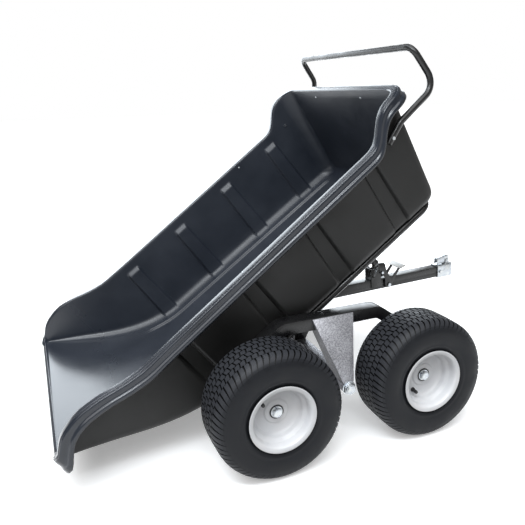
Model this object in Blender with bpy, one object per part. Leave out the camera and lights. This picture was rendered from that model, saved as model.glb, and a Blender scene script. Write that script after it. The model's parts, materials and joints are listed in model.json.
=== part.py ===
"""Tandem-axle garden tractor trailer with a tipping plastic tub, in metres.

+X points forward to the hitch, +Y to the left, +Z up. The origin is on the ground, at the
bottom centre of the overall box. The tub stands tipped up against its stop, as it does when
it is being emptied.
"""
import math

import bmesh
import bpy
from mathutils import Matrix, Vector

# Clearances between pieces
FIT = 0.0003              # pieces that touch, and pins in their holes
RUN = 0.0004              # radial gap of a turning shaft

# Wheels and tyres
TYRE_R = 0.2286           # 18 inch turf tyre
TYRE_HALF_W = 0.1062
TYRE_WALL = 0.009
BEAD_SEAT_R = 0.1016      # 8 inch rim
RIM_LIP_R = 0.1188
RIM_HALF_W = 0.1050
RIM_SHEET = 0.0028
RIM_WELL_R = 0.0860
RIM_DISC_Q = -0.030       # inner face of the wheel disc, measured inward from the wheel's middle
WHEEL_HUB_R = 0.028
WHEEL_WASHER_R = 0.0245
WHEEL_NUT_R = 0.0200
WHEEL_HUB_OUT = -0.040
WHEEL_HUB_IN = 0.060
WHEELBASE = 0.585
TRACK_HALF = 0.680        # wheel middle plane to the trailer's middle plane
SPINDLE_R = 0.0125
SPINDLE_FLANGE_R = 0.030
SPINDLE_FLANGE_T = 0.006
NUT_T = 0.012
VALVE_R = 0.0045
VALVE_LEN = 0.030
VALVE_AT_R = 0.068
VALVE_ANGLES = {"front": 232.0, "rear": 140.0}

# Bogies: each an arched beam on a folded bracket and a pivot tube
BEAM_Q = (0.1200, 0.1860)     # beam sides, inward from the wheel's middle plane
BEAM_TALL = 0.045
BEAM_WALL = 0.004
BEAM_TOP_Z = 0.465
BEAM_FLAT_HALF = 0.165
BEAM_BEND_R = 0.055
BEAM_SLOPE_END = (0.262, 0.392)
BEAM_FOOT_Z = 0.203
BRACKET_TOP_HALF = 0.082
BRACKET_BOTTOM_HALF = 0.0215
BRACKET_BOTTOM_Z = 0.252
BRACKET_SHEET = 0.005
BRACKET_FLANGE = 0.090    # reach of the side flanges at the pivot, short of the axle when it rocks
PIVOT_TUBE_R = 0.024
PIVOT_TUBE_LEN = 0.105
PIVOT_SHAFT_R = 0.015
PIVOT_WASHER_R = 0.026
PIVOT_WASHER_T = 0.003
PIVOT_NUT_T = 0.018

# Main axle and what stands on it
AXLE_SQUARE = 0.050
AXLE_WALL = 0.004
AXLE_END_PLATE = 0.006
UPRIGHT_H = 0.250         # outer face of each upright, out from the middle plane
UPRIGHT_T = 0.008
CROSSMEMBER_SQUARE = 0.040
CROSSMEMBER_WALL = 0.003

# Drawbar
DRAWBAR_SQUARE = 0.050
DRAWBAR_WALL = 0.0035
DRAWBAR_Z = 0.336         # centre line over the axle
DRAWBAR_PITCH = 1.7       # degrees, front end up
DRAWBAR_END = 0.885

# Foot latch, along (s) and above (t) the drawbar's centre line
LATCH_PIVOT = (0.563, -0.009)
LATCH_BOLT_R = 0.005
LATCH_PLATE_T = 0.005
LATCH_CHEEK_S = (0.469, 0.522)
LATCH_CHEEK_T = (-0.012, 0.080)
STRIKER_AT = (0.5025, 0.079)
STRIKER_R = 0.006
STRIKER_CLEAR = 0.001
HOOK_OVERHANG = 0.006     # how far the hooks reach past the striker rod
PEDAL_HALF = 0.060
PEDAL_LONG = 0.034
PEDAL_T = 0.004
PEDAL_AT = (0.611, 0.0665)
PEDAL_SLOPE = 18.0
SPRING_WIRE_R = 0.0007
SPRING_COIL_R = 0.0037
SPRING_TURNS = 9
SPRING_PIN_R = 0.003
SPRING_PIN_LOW = (0.476, 0.044)
SPRING_PIN_HIGH = (0.4985, 0.0945)

# Ball coupler, in the same s and t
COUPLER_S = 0.851
COUPLER_HALF = 0.030
COUPLER_BALL_S = 0.919
COUPLER_BALL_R = 0.0245
LEVER_PIN = (0.915, 0.047)
LEVER_PIN_R = 0.004
LEVER_HALF = 0.014

# Tipping tub, in its own frame: u forward, h sideways, w up from the tilt axis
TILT = 35.3               # degrees, front end up
TILT_X = 0.020            # tilt axis, ahead of the main axle
TILT_Z = 0.455
TILT_BOLT_R = 0.006
TUB_WALL = 0.0045
TUB_MERGE = 0.006         # points of the sheet closer than this become one
FLOOR_W = 0.0300
FLOOR_FILLET = 0.032
RAMP_START = -0.420
RAMP_BEND = 1.0
RAMP_STRAIGHT = -0.800
TUB_REAR = -0.985
TUB_FRONT_LOW = 0.636     # inside of the front wall near the floor
TUB_FRONT_LEAN = 0.107    # how far it leans out, for each unit of height
TUB_CORNER_R = 0.070
WALL_LOW_H = TRACK_HALF - 0.208    # the tub fills the room between the bogies
RIB_TOP_SHARE = 0.85      # of the wall's height
RIM_H = TRACK_HALF - 0.175
REAR_FLARE = 0.025
RIM_STEPS = ((0.014, 0.004), (0.024, -0.006), (0.008, -0.012), (0.002, -0.018), (0.004, -0.006),
             (0.001, -0.022))
SPOUT_REACH = 0.62        # of a step's length, where the rim crosses the rear lip
RIM_KEYS = ((-0.985, 0.3165), (-0.955, 0.354), (-0.915, 0.380), (-0.840, 0.395), (-0.760, 0.383),
            (-0.680, 0.360), (-0.610, 0.348), (0.470, 0.379), (0.508, 0.397), (0.545, 0.445),
            (0.585, 0.476), (0.625, 0.483), (0.700, 0.483))
RIB_CENTRES = (-0.470, -0.168, 0.134, 0.436)
RIB_HALF = 0.034
RIB_DRAFT = 0.010
RIB_DEPTH = 0.014

# Tub frame, handle and hinge ears
FRAME_TUBE_R = 0.014
FRAME_TUBE_WALL = 0.002
FRAME_RAIL_H = WALL_LOW_H - 0.032
FRAME_REAR = -0.360
FRAME_FRONT = 0.600
FRAME_BEND_R = 0.060
CROSS_TUBE_U = -0.045
FLOOR_BOLT_H = 0.150
FLOOR_BOLT_R = 0.004
EAR_T = 0.006
HANDLE_TUBE_R = 0.0125
HANDLE_TUBE_WALL = 0.0018
HANDLE_BEND_R = 0.052
HANDLE_ELBOW = (0.843, 0.398)
HANDLE_BOLT = (0.565, 0.366)
HANDLE_BOLT_R = 0.004
HANDLE_NUT_GAP = 0.0012   # the wall leans and the tube splays under the bolt's head and nut
HANDLE_TOP = (0.8255, 0.5635)
HANDLE_TOP_H = RIM_H - 0.030

# How round things are divided
TYRE_SIDES = 32
RIM_SIDES = 20
TUBE_SIDES = 8
BOLT_SIDES = 8
NUT_SIDES = 12
HOLE_SIDES = 12

TUB_FRAME_W = FLOOR_W - TUB_WALL - FIT - FRAME_TUBE_R


def clear_scene():
    for obj in list(bpy.data.objects):
        bpy.data.objects.remove(obj, do_unlink=True)


def material(name, colour, roughness, metallic):
    mat = bpy.data.materials.new(name)
    mat.use_nodes = True
    shader = mat.node_tree.nodes["Principled BSDF"]
    shader.inputs["Base Color"].default_value = (*colour, 1.0)
    shader.inputs["Roughness"].default_value = roughness
    shader.inputs["Metallic"].default_value = metallic
    return mat


def empty(name, location, parent=None, turn=(0.0, 0.0, 0.0)):
    holder = bpy.data.objects.new(name, None)
    holder.location = location
    holder.rotation_euler = turn
    holder.parent = parent
    bpy.context.scene.collection.objects.link(holder)
    return holder


def finish_mesh(name, bm, mat, parent, smooth=None):
    bmesh.ops.remove_doubles(bm, verts=bm.verts, dist=0.00001)
    bmesh.ops.recalc_face_normals(bm, faces=bm.faces)
    mesh = bpy.data.meshes.new(name)
    bm.to_mesh(mesh)
    bm.free()
    mesh.materials.append(mat)
    if smooth:
        mesh.shade_smooth()
        mesh.set_sharp_from_angle(angle=math.radians(smooth))
    obj = bpy.data.objects.new(name, mesh)
    obj.parent = parent
    bpy.context.scene.collection.objects.link(obj)
    return obj


def combine(obj, other, operation):
    """Boolean of obj with other; other becomes a hidden guide."""
    other.hide_render = True
    other.display_type = "WIRE"
    mod = obj.modifiers.new(operation.lower(), "BOOLEAN")
    mod.operation = operation
    mod.solver = "EXACT"
    mod.object = other
    return obj


def around(radius, gap, sides):
    """Radius of a hole of flat sides that clears a round bar by the gap."""
    return (radius + gap) / math.cos(math.pi / sides)


def prism(outline, axis, low, high):
    """A flat outline extruded along an axis: 'y' outlines are (x, z), 'z' are (x, y), 'x' are (y, z)."""
    bm = bmesh.new()
    place = {"x": lambda a, b: (low, a, b), "y": lambda a, b: (a, low, b), "z": lambda a, b: (a, b, low)}[axis]
    face = bm.faces.new([bm.verts.new(place(a, b)) for a, b in outline])
    step = Vector([high - low if letter == axis else 0.0 for letter in "xyz"])
    grown = bmesh.ops.extrude_face_region(bm, geom=[face])
    bmesh.ops.translate(bm, vec=step, verts=[v for v in grown["geom"] if isinstance(v, bmesh.types.BMVert)])
    return bm


def block(low, high):
    bm = bmesh.new()
    size = [b - a for a, b in zip(low, high)]
    middle = [(a + b) / 2 for a, b in zip(low, high)]
    bmesh.ops.create_cube(bm, size=1.0, matrix=Matrix.Translation(middle) @ Matrix.Diagonal((*size, 1.0)))
    return bm


def round_bar(radius, low, high, centre=(0.0, 0.0), sides=BOLT_SIDES):
    """A round bar along Y, at (x, z)."""
    bm = bmesh.new()
    place = Matrix.Translation((centre[0], (low + high) / 2, centre[1])) @ Matrix.Rotation(math.pi / 2, 4, "X")
    bmesh.ops.create_cone(bm, cap_ends=True, segments=sides, radius1=radius, radius2=radius,
                          depth=abs(high - low), matrix=place)
    return bm


def turned(profile, sides, centre=(0.0, 0.0)):
    """A profile of (radius, y) points turned about the Y axis through (x, z): a ring, or from axis to axis."""
    bm = bmesh.new()
    verts = [bm.verts.new((radius, y, 0.0)) for radius, y in profile]
    following = verts[1:] + (verts[:1] if profile[0][0] > 0 else [])
    edges = [bm.edges.new((a, b)) for a, b in zip(verts, following)]
    bmesh.ops.spin(bm, geom=verts + edges, cent=(0, 0, 0), axis=(0, 1, 0), angle=math.tau, steps=sides,
                   use_merge=True)
    bmesh.ops.translate(bm, vec=(centre[0], 0.0, centre[1]), verts=bm.verts)
    return bm


def merged(*parts):
    """Several bmeshes in one, still separate shells."""
    bm = bmesh.new()
    for part in parts:
        mesh = bpy.data.meshes.new("part")
        part.to_mesh(mesh)
        part.free()
        bm.from_mesh(mesh)
        bpy.data.meshes.remove(mesh)
    return bm


def bend_path(corners, radius, steps=5):
    """A polyline whose inner corners are rounded by arcs."""
    points = [Vector(corners[0])]
    for before, corner, after in zip(corners, corners[1:], corners[2:]):
        corner = Vector(corner)
        back = (Vector(before) - corner).normalized()
        ahead = (Vector(after) - corner).normalized()
        half = back.angle(ahead) / 2
        reach = radius / math.tan(half)
        centre = corner + (back + ahead).normalized() * radius / math.sin(half)
        start = corner + back * reach - centre
        end = corner + ahead * reach - centre
        for k in range(steps + 1):
            points.append(centre + start.normalized().slerp(end.normalized(), k / steps) * radius)
    points.append(Vector(corners[-1]))
    return points


def tube_mesh(points, radius, sides=TUBE_SIDES, capped=True):
    """A round bar along a polyline, or only its skin."""
    curve = bpy.data.curves.new("route", "CURVE")
    curve.dimensions = "3D"
    curve.bevel_depth = radius
    curve.bevel_resolution = (sides - 4) // 2
    curve.use_fill_caps = capped
    spline = curve.splines.new("POLY")
    spline.points.add(len(points) - 1)
    for target, point in zip(spline.points, points):
        target.co = (*point, 1.0)
    route = bpy.data.objects.new("route", curve)
    bpy.context.scene.collection.objects.link(route)
    mesh = bpy.data.meshes.new_from_object(route.evaluated_get(bpy.context.evaluated_depsgraph_get()))
    bm = bmesh.new()
    bm.from_mesh(mesh)
    bpy.data.objects.remove(route, do_unlink=True)
    bpy.data.curves.remove(curve)
    bpy.data.meshes.remove(mesh)
    return bm


def pipe_mesh(points, radius, wall):
    """A hollow tube along a polyline, open at both ends."""
    bm = merged(tube_mesh(points, radius, capped=False), tube_mesh(points, radius - wall, capped=False))
    ends = [edge for edge in bm.edges if edge.is_boundary]
    for end in (Vector(points[0]), Vector(points[-1])):
        ring = [edge for edge in ends if (edge.verts[0].co - end).length < radius * 1.1]
        outer = [edge for edge in ring if (edge.verts[0].co - end).length > radius - wall / 2]
        inner = {vert for edge in ring for vert in edge.verts if (vert.co - end).length < radius - wall / 2}
        for edge in outer:
            a, b = edge.verts
            across = [min(inner, key=lambda vert: (vert.co - corner.co).length) for corner in (b, a)]
            bm.faces.new((a, b, *across))
    return bm


def strip_outline(points, half):
    """The outline of a flat strip of even width round a polyline of (a, b) points."""
    left, right = [], []
    for k, point in enumerate(points):
        ahead = points[min(k + 1, len(points) - 1)]
        behind = points[max(k - 1, 0)]
        before = Vector((point[0] - behind[0], point[1] - behind[1]))
        after = Vector((ahead[0] - point[0], ahead[1] - point[1]))
        before = before.normalized() if before.length else after.normalized()
        after = after.normalized() if after.length else before
        along = (before + after).normalized()
        side = Vector((-along.y, along.x)) * half / max(along.dot(before), 0.5)
        left.append((point[0] + side.x, point[1] + side.y))
        right.append((point[0] - side.x, point[1] - side.y))
    return left + right[::-1]


def square_tube(name, size, wall, axis, low, high, centre, mat, parent):
    """An open-ended square tube along X or Y."""
    half = size / 2
    inner = half - wall
    spare = 0.02
    if axis == "y":
        outer = block((centre[0] - half, low, centre[1] - half), (centre[0] + half, high, centre[1] + half))
        bore = block((centre[0] - inner, low - spare, centre[1] - inner),
                     (centre[0] + inner, high + spare, centre[1] + inner))
    else:
        outer = block((low, centre[0] - half, centre[1] - half), (high, centre[0] + half, centre[1] + half))
        bore = block((low - spare, centre[0] - inner, centre[1] - inner),
                     (high + spare, centre[0] + inner, centre[1] + inner))
    obj = finish_mesh(name, outer, mat, parent)
    return combine(obj, finish_mesh(name + "_bore", bore, mat, parent), "DIFFERENCE")


def bolt(name, radius, low, high, centre, mat, parent, head=1.7, head_t=0.006, nut_t=0.006):
    """A hexagon bolt along Y whose grip runs from low to high; its head is at the low end."""
    shank = round_bar(radius, low - head_t / 2, high + nut_t + radius, centre)
    obj = finish_mesh(name, shank, mat, parent)
    head_bar = round_bar(radius * head, low - head_t, low, centre, 6)
    nut_bar = round_bar(radius * head, high, high + nut_t, centre, 6)
    combine(obj, finish_mesh(name + "_head", head_bar, mat, parent), "UNION")
    return combine(obj, finish_mesh(name + "_nut", nut_bar, mat, parent), "UNION")


def make_materials():
    return {
        "black_paint": material("black_paint", (0.020, 0.020, 0.022), 0.42, 0.0),
        "hammered_silver": material("hammered_silver", (0.50, 0.50, 0.53), 0.40, 0.7),
        "zinc": material("zinc", (0.56, 0.60, 0.64), 0.32, 0.9),
        "rim_white": material("rim_white", (0.80, 0.80, 0.80), 0.35, 0.0),
        "tyre_rubber": material("tyre_rubber", (0.030, 0.031, 0.034), 0.75, 0.0),
        "tub_plastic": material("tub_plastic", (0.022, 0.025, 0.030), 0.34, 0.0),
        "valve_rubber": material("valve_rubber", (0.015, 0.015, 0.015), 0.60, 0.0),
        "pedal_grey": material("pedal_grey", (0.42, 0.42, 0.42), 0.50, 0.4),
    }


def tyre_profile():
    """Carcass section, open towards the rim, as (radius, y)."""
    bead = around(BEAD_SEAT_R, FIT, TYRE_SIDES)
    outer = [(bead, 0.0890), (0.1280, 0.0985), (0.1600, TYRE_HALF_W), (0.1980, 0.1040),
             (0.2180, 0.0920), (TYRE_R, 0.0680)]
    inner = [(bead, 0.0890 - TYRE_WALL), (0.1640, TYRE_HALF_W - TYRE_WALL),
             (TYRE_R - TYRE_WALL, 0.0520)]
    outside = outer + [(radius, -y) for radius, y in reversed(outer)]
    inside = inner + [(radius, -y) for radius, y in reversed(inner)]
    return outside + inside[::-1]


def rim_profile(side):
    """Steel wheel with its disc and hub, as (radius, y); the dished side faces outward."""
    t = RIM_SHEET
    hub_bore = around(SPINDLE_R, RUN, RIM_SIDES)
    q = [
        (RIM_LIP_R, -RIM_HALF_W), (BEAD_SEAT_R, -0.0970), (BEAD_SEAT_R, -0.0700), (RIM_WELL_R + t, -0.0580),
        (RIM_WELL_R + t, 0.0300), (BEAD_SEAT_R, 0.0480), (BEAD_SEAT_R, 0.0970), (RIM_LIP_R, RIM_HALF_W),
        (BEAD_SEAT_R - t, 0.0990), (BEAD_SEAT_R - t, 0.0495), (RIM_WELL_R, 0.0310), (RIM_WELL_R, RIM_DISC_Q),
        (WHEEL_HUB_R, RIM_DISC_Q), (WHEEL_HUB_R, WHEEL_HUB_IN), (hub_bore, WHEEL_HUB_IN),
        (hub_bore, WHEEL_HUB_OUT), (WHEEL_HUB_R, WHEEL_HUB_OUT), (WHEEL_HUB_R, RIM_DISC_Q - t),
        (RIM_WELL_R, RIM_DISC_Q - t), (RIM_WELL_R, -0.0570), (BEAD_SEAT_R - t, -0.0685),
        (BEAD_SEAT_R - t, -0.0990),
    ]
    return [(radius, -side * value) for radius, value in q]


def make_wheel(end, side, bogie, mats):
    """Tyre, rim and valve, which turn, and the spindle and nut, which don't."""
    tag = ("front_" if end > 0 else "rear_") + ("right" if side < 0 else "left")
    hub = empty("wheel_axis_" + tag, (end * WHEELBASE / 2, 0, 0), bogie)
    finish_mesh("tyre_" + tag, turned(tyre_profile(), TYRE_SIDES), mats["tyre_rubber"], hub, 30)
    rim = finish_mesh("rim_" + tag, turned(rim_profile(side), RIM_SIDES), mats["rim_white"], hub, 35)
    angle = math.radians(VALVE_ANGLES["front" if end > 0 else "rear"])
    at = (VALVE_AT_R * math.cos(angle), VALVE_AT_R * math.sin(angle))
    disc_face = RIM_DISC_Q - RIM_SHEET - FIT
    ends = sorted((-side * disc_face, -side * (disc_face - VALVE_LEN)))
    finish_mesh("valve_" + tag, round_bar(VALVE_R, *ends, at, 10), mats["valve_rubber"], hub, 35)
    flange_face = BEAM_Q[0] - FIT
    nut_in = WHEEL_HUB_OUT - FIT
    spindle_end = nut_in - NUT_T - 0.004
    profile = [(0.0, flange_face), (SPINDLE_FLANGE_R, flange_face),
               (SPINDLE_FLANGE_R, flange_face - SPINDLE_FLANGE_T), (0.018, flange_face - SPINDLE_FLANGE_T),
               (0.018, WHEEL_HUB_IN + FIT), (SPINDLE_R, WHEEL_HUB_IN + FIT), (SPINDLE_R, spindle_end),
               (0.0, spindle_end)]
    finish_mesh("spindle_" + tag, turned([(r, -side * q) for r, q in profile], 14), mats["zinc"], hub, 35)
    bore = around(SPINDLE_R, FIT, NUT_SIDES)
    washer = [(bore, nut_in), (WHEEL_WASHER_R, nut_in), (WHEEL_WASHER_R, nut_in - 0.003),
              (WHEEL_NUT_R, nut_in - 0.003), (WHEEL_NUT_R, nut_in - NUT_T), (bore, nut_in - NUT_T)]
    finish_mesh("wheel_nut_" + tag, turned([(r, -side * q) for r, q in washer], NUT_SIDES), mats["zinc"], hub)
    return rim


def beam_path():
    """Centre line of the arched beam in (x, z) above the ground."""
    top = BEAM_TOP_Z - BEAM_TALL / 2
    foot = (WHEELBASE / 2, BEAM_FOOT_Z)
    half = [(BEAM_FLAT_HALF + 0.028, top), BEAM_SLOPE_END, foot]
    corners = [(-foot[0], 0.0, foot[1]), (-half[1][0] - 0.028, 0.0, half[1][1] - 0.022), (-half[0][0], 0.0, top),
               (half[0][0], 0.0, top), (half[1][0] + 0.028, 0.0, half[1][1] - 0.022), (foot[0], 0.0, foot[1])]
    return [(p.x, p.z) for p in bend_path(corners, BEAM_BEND_R, 4)]


def make_bogie(side, root, mats):
    """One walking beam with its bracket, pivot tube and two wheels; q runs inward from the wheels' middle."""
    word = "right" if side < 0 else "left"
    pivot = empty("bogie_pivot_" + word, (0, side * TRACK_HALF, TYRE_R), root)

    def y(q):
        return -side * q

    path = [(x, z - TYRE_R) for x, z in beam_path()]
    sides = sorted((y(BEAM_Q[0]), y(BEAM_Q[1])))
    beam = finish_mesh("bogie_beam_" + word, prism(strip_outline(path, BEAM_TALL / 2), "y", *sides),
                       mats["black_paint"], pivot, 30)
    longer = [(path[0][0], path[0][1] - 0.02)] + path + [(path[-1][0], path[-1][1] - 0.02)]
    bore = finish_mesh("bogie_beam_bore_" + word,
                       prism(strip_outline(longer, BEAM_TALL / 2 - BEAM_WALL), "y",
                             sides[0] + BEAM_WALL, sides[1] - BEAM_WALL), mats["black_paint"], pivot)
    combine(beam, bore, "DIFFERENCE")

    top_z = BEAM_TOP_Z - 0.003 - TYRE_R
    low_z = 0.0
    slope = (BRACKET_TOP_HALF - BRACKET_BOTTOM_HALF) / (top_z - (BRACKET_BOTTOM_Z - TYRE_R))
    low_half = BRACKET_TOP_HALF - slope * (top_z - low_z)
    top_q = BEAM_Q[0] - FIT - BRACKET_SHEET
    lean = top_q / (top_z - (BRACKET_BOTTOM_Z - TYRE_R))
    low_q = top_q - lean * (top_z - low_z)

    def hull(shrink, rise):
        """The bracket's wedge, smaller all round by shrink and taller by rise."""
        bm = bmesh.new()
        levels = []
        for z, half, q in ((low_z - rise, low_half - slope * rise, low_q - lean * rise),
                           (top_z + rise, BRACKET_TOP_HALF + slope * rise, top_q + lean * rise)):
            near = q + shrink * math.hypot(1.0, lean)
            far = (BRACKET_FLANGE if z < top_z / 2 else BEAM_Q[1]) + (0.05 if shrink else 0.0)
            half = half - shrink * math.hypot(1.0, slope)
            levels.append([bm.verts.new((x, y(d), z)) for x, d in
                           ((-half, near), (half, near), (half, far), (-half, far))])
        for k in range(4):
            bm.faces.new((levels[0][k], levels[0][(k + 1) % 4], levels[1][(k + 1) % 4], levels[1][k]))
        bm.faces.new(levels[0])
        bm.faces.new(levels[1])
        return bm

    bracket = finish_mesh("bogie_bracket_" + word, hull(0.0, 0.0), mats["hammered_silver"], pivot)
    combine(bracket, finish_mesh("bracket_space_" + word, hull(BRACKET_SHEET, 0.01), mats["black_paint"],
                                 pivot), "DIFFERENCE")
    beam_low = BEAM_TOP_Z - BEAM_TALL - FIT - TYRE_R
    notch_sides = sorted((y(BEAM_Q[0] - FIT), y(0.30)))
    notch = block((-0.2, notch_sides[0], beam_low), (0.2, notch_sides[1], 0.4))
    combine(bracket, finish_mesh("bracket_notch_" + word, notch, mats["black_paint"], pivot), "DIFFERENCE")
    saddle_ends = sorted((y(-0.05), y(0.20)))
    saddle = round_bar(around(PIVOT_TUBE_R, FIT, 24), *saddle_ends, sides=24)
    combine(bracket, finish_mesh("bracket_saddle_" + word, saddle, mats["black_paint"], pivot), "DIFFERENCE")
    skirt = block((-0.06, saddle_ends[0], -0.05), (0.06, saddle_ends[1], 0.012))
    combine(bracket, finish_mesh("bracket_skirt_" + word, skirt, mats["black_paint"], pivot), "DIFFERENCE")
    trim_ends = sorted((y(-0.05), y(FIT)))
    trim = block((-0.06, trim_ends[0], -0.06), (0.06, trim_ends[1], 0.06))
    combine(bracket, finish_mesh("bracket_trim_" + word, trim, mats["black_paint"], pivot), "DIFFERENCE")

    bore_r = around(PIVOT_SHAFT_R, RUN, 24)
    ring = [(PIVOT_TUBE_R, 0.0), (PIVOT_TUBE_R, PIVOT_TUBE_LEN), (bore_r, PIVOT_TUBE_LEN), (bore_r, 0.0)]
    finish_mesh("bogie_pivot_tube_" + word, turned([(r, y(q)) for r, q in ring], 24), mats["hammered_silver"],
                pivot, 35)
    for end in (-1, 1):
        make_wheel(end, side, pivot, mats)
    return pivot


def make_axle(root, mats):
    """The fixed axle, its end shafts, washers and castle nuts."""
    hub_in = TRACK_HALF - PIVOT_TUBE_LEN - FIT
    tube_half = hub_in - AXLE_END_PLATE - FIT
    square_tube("main_axle", AXLE_SQUARE, AXLE_WALL, "y", -tube_half, tube_half, (0.0, TYRE_R),
                mats["hammered_silver"], root)
    half = AXLE_SQUARE / 2
    for side, word in ((-1, "right"), (1, "left")):
        plate_ends = sorted((side * (hub_in - AXLE_END_PLATE), side * hub_in))
        plate = block((-half, plate_ends[0], TYRE_R - half), (half, plate_ends[1], TYRE_R + half))
        shaft = finish_mesh("pivot_shaft_" + word, plate, mats["zinc"], root)
        washer_in = TRACK_HALF + FIT
        nut_in = washer_in + PIVOT_WASHER_T
        shaft_end = nut_in + PIVOT_NUT_T + 0.004
        ends = sorted((side * (hub_in - AXLE_END_PLATE / 2), side * shaft_end))
        bar = finish_mesh("pivot_shaft_bar_" + word, round_bar(PIVOT_SHAFT_R, *ends, (0.0, TYRE_R), 24),
                          mats["zinc"], root)
        combine(shaft, bar, "UNION")
        bore = around(PIVOT_SHAFT_R, FIT, NUT_SIDES)
        nut = [(bore, washer_in), (PIVOT_WASHER_R, washer_in), (PIVOT_WASHER_R, nut_in), (0.0225, nut_in),
               (0.0225, nut_in + 0.011), (0.0190, nut_in + 0.011), (0.0190, nut_in + PIVOT_NUT_T),
               (bore, nut_in + PIVOT_NUT_T)]
        finish_mesh("pivot_nut_" + word, turned([(r, side * h) for r, h in nut], NUT_SIDES, (0.0, TYRE_R)),
                    mats["zinc"], root)


def make_uprights(root, mats):
    """Two plates on the axle that carry the tub's hinge, and the cross member between them."""
    base = TYRE_R + AXLE_SQUARE / 2 + FIT
    crown = 0.020
    arc = [(TILT_X + crown * math.cos(a), TILT_Z + crown * math.sin(a))
           for a in (math.radians(20 * k) for k in range(0, 10))]
    tilt = math.radians(TILT)
    stop_x = TILT_X + CROSS_TUBE_U * math.cos(tilt) - TUB_FRAME_W * math.sin(tilt)
    stop_z = TILT_Z + CROSS_TUBE_U * math.sin(tilt) + TUB_FRAME_W * math.cos(tilt) - FRAME_TUBE_R - FIT
    outline = [(-0.025, base), (0.025, base), (0.052, base + 0.050), (0.052, 0.400)] + arc + \
        [(TILT_X - crown, stop_z), (stop_x - 0.010, stop_z), (stop_x - 0.010, stop_z - 0.018), (-0.025, 0.372)]
    inner = UPRIGHT_H - UPRIGHT_T
    for side, word in ((-1, "right"), (1, "left")):
        faces = sorted((side * inner, side * UPRIGHT_H))
        plate = finish_mesh("axle_upright_" + word, prism(outline, "y", *faces), mats["black_paint"], root, 30)
        hole = round_bar(around(TILT_BOLT_R, FIT, HOLE_SIDES), faces[0] - 0.01, faces[1] + 0.01,
                         (TILT_X, TILT_Z), HOLE_SIDES)
        combine(plate, finish_mesh("upright_hole_" + word, hole, mats["black_paint"], root), "DIFFERENCE")
        ear_in = inner - FIT - EAR_T
        grip = sorted((side * (ear_in - FIT), side * (UPRIGHT_H + FIT)))
        bolt("tilt_bolt_" + word, TILT_BOLT_R, grip[0], grip[1], (TILT_X, TILT_Z), mats["zinc"], root)
    span = inner - FIT
    square_tube("frame_crossmember", CROSSMEMBER_SQUARE, CROSSMEMBER_WALL, "y", -span, span, (0.0, DRAWBAR_Z),
                mats["black_paint"], root)


def make_drawbar(root, mats):
    """The drawbar and what is bolted to it, in the drawbar's own pitched frame."""
    pitch = math.radians(DRAWBAR_PITCH)
    bar = empty("drawbar_line", (0.0, 0.0, DRAWBAR_Z), root, (0.0, -pitch, 0.0))
    start = CROSSMEMBER_SQUARE / 2 + FIT + math.tan(pitch) * DRAWBAR_SQUARE / 2
    tube = square_tube("drawbar", DRAWBAR_SQUARE, DRAWBAR_WALL, "x", start, DRAWBAR_END, (0.0, 0.0),
                       mats["black_paint"], bar)
    half = DRAWBAR_SQUARE / 2
    wide = around(LATCH_BOLT_R, FIT, HOLE_SIDES)
    hole = round_bar(wide, -half - 0.01, half + 0.01, LATCH_PIVOT, HOLE_SIDES)
    combine(tube, finish_mesh("drawbar_hole", hole, mats["black_paint"], bar), "DIFFERENCE")
    bolt_s = COUPLER_S + 0.016
    cross = round_bar(wide, -half - 0.02, half + 0.02, (bolt_s, 0.0), HOLE_SIDES)
    cross_cut = finish_mesh("coupler_bolt_hole", cross, mats["black_paint"], bar)
    combine(tube, cross_cut, "DIFFERENCE")
    make_latch(bar, mats)
    make_coupler(bar, cross_cut, bolt_s, mats)
    return bar


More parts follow.
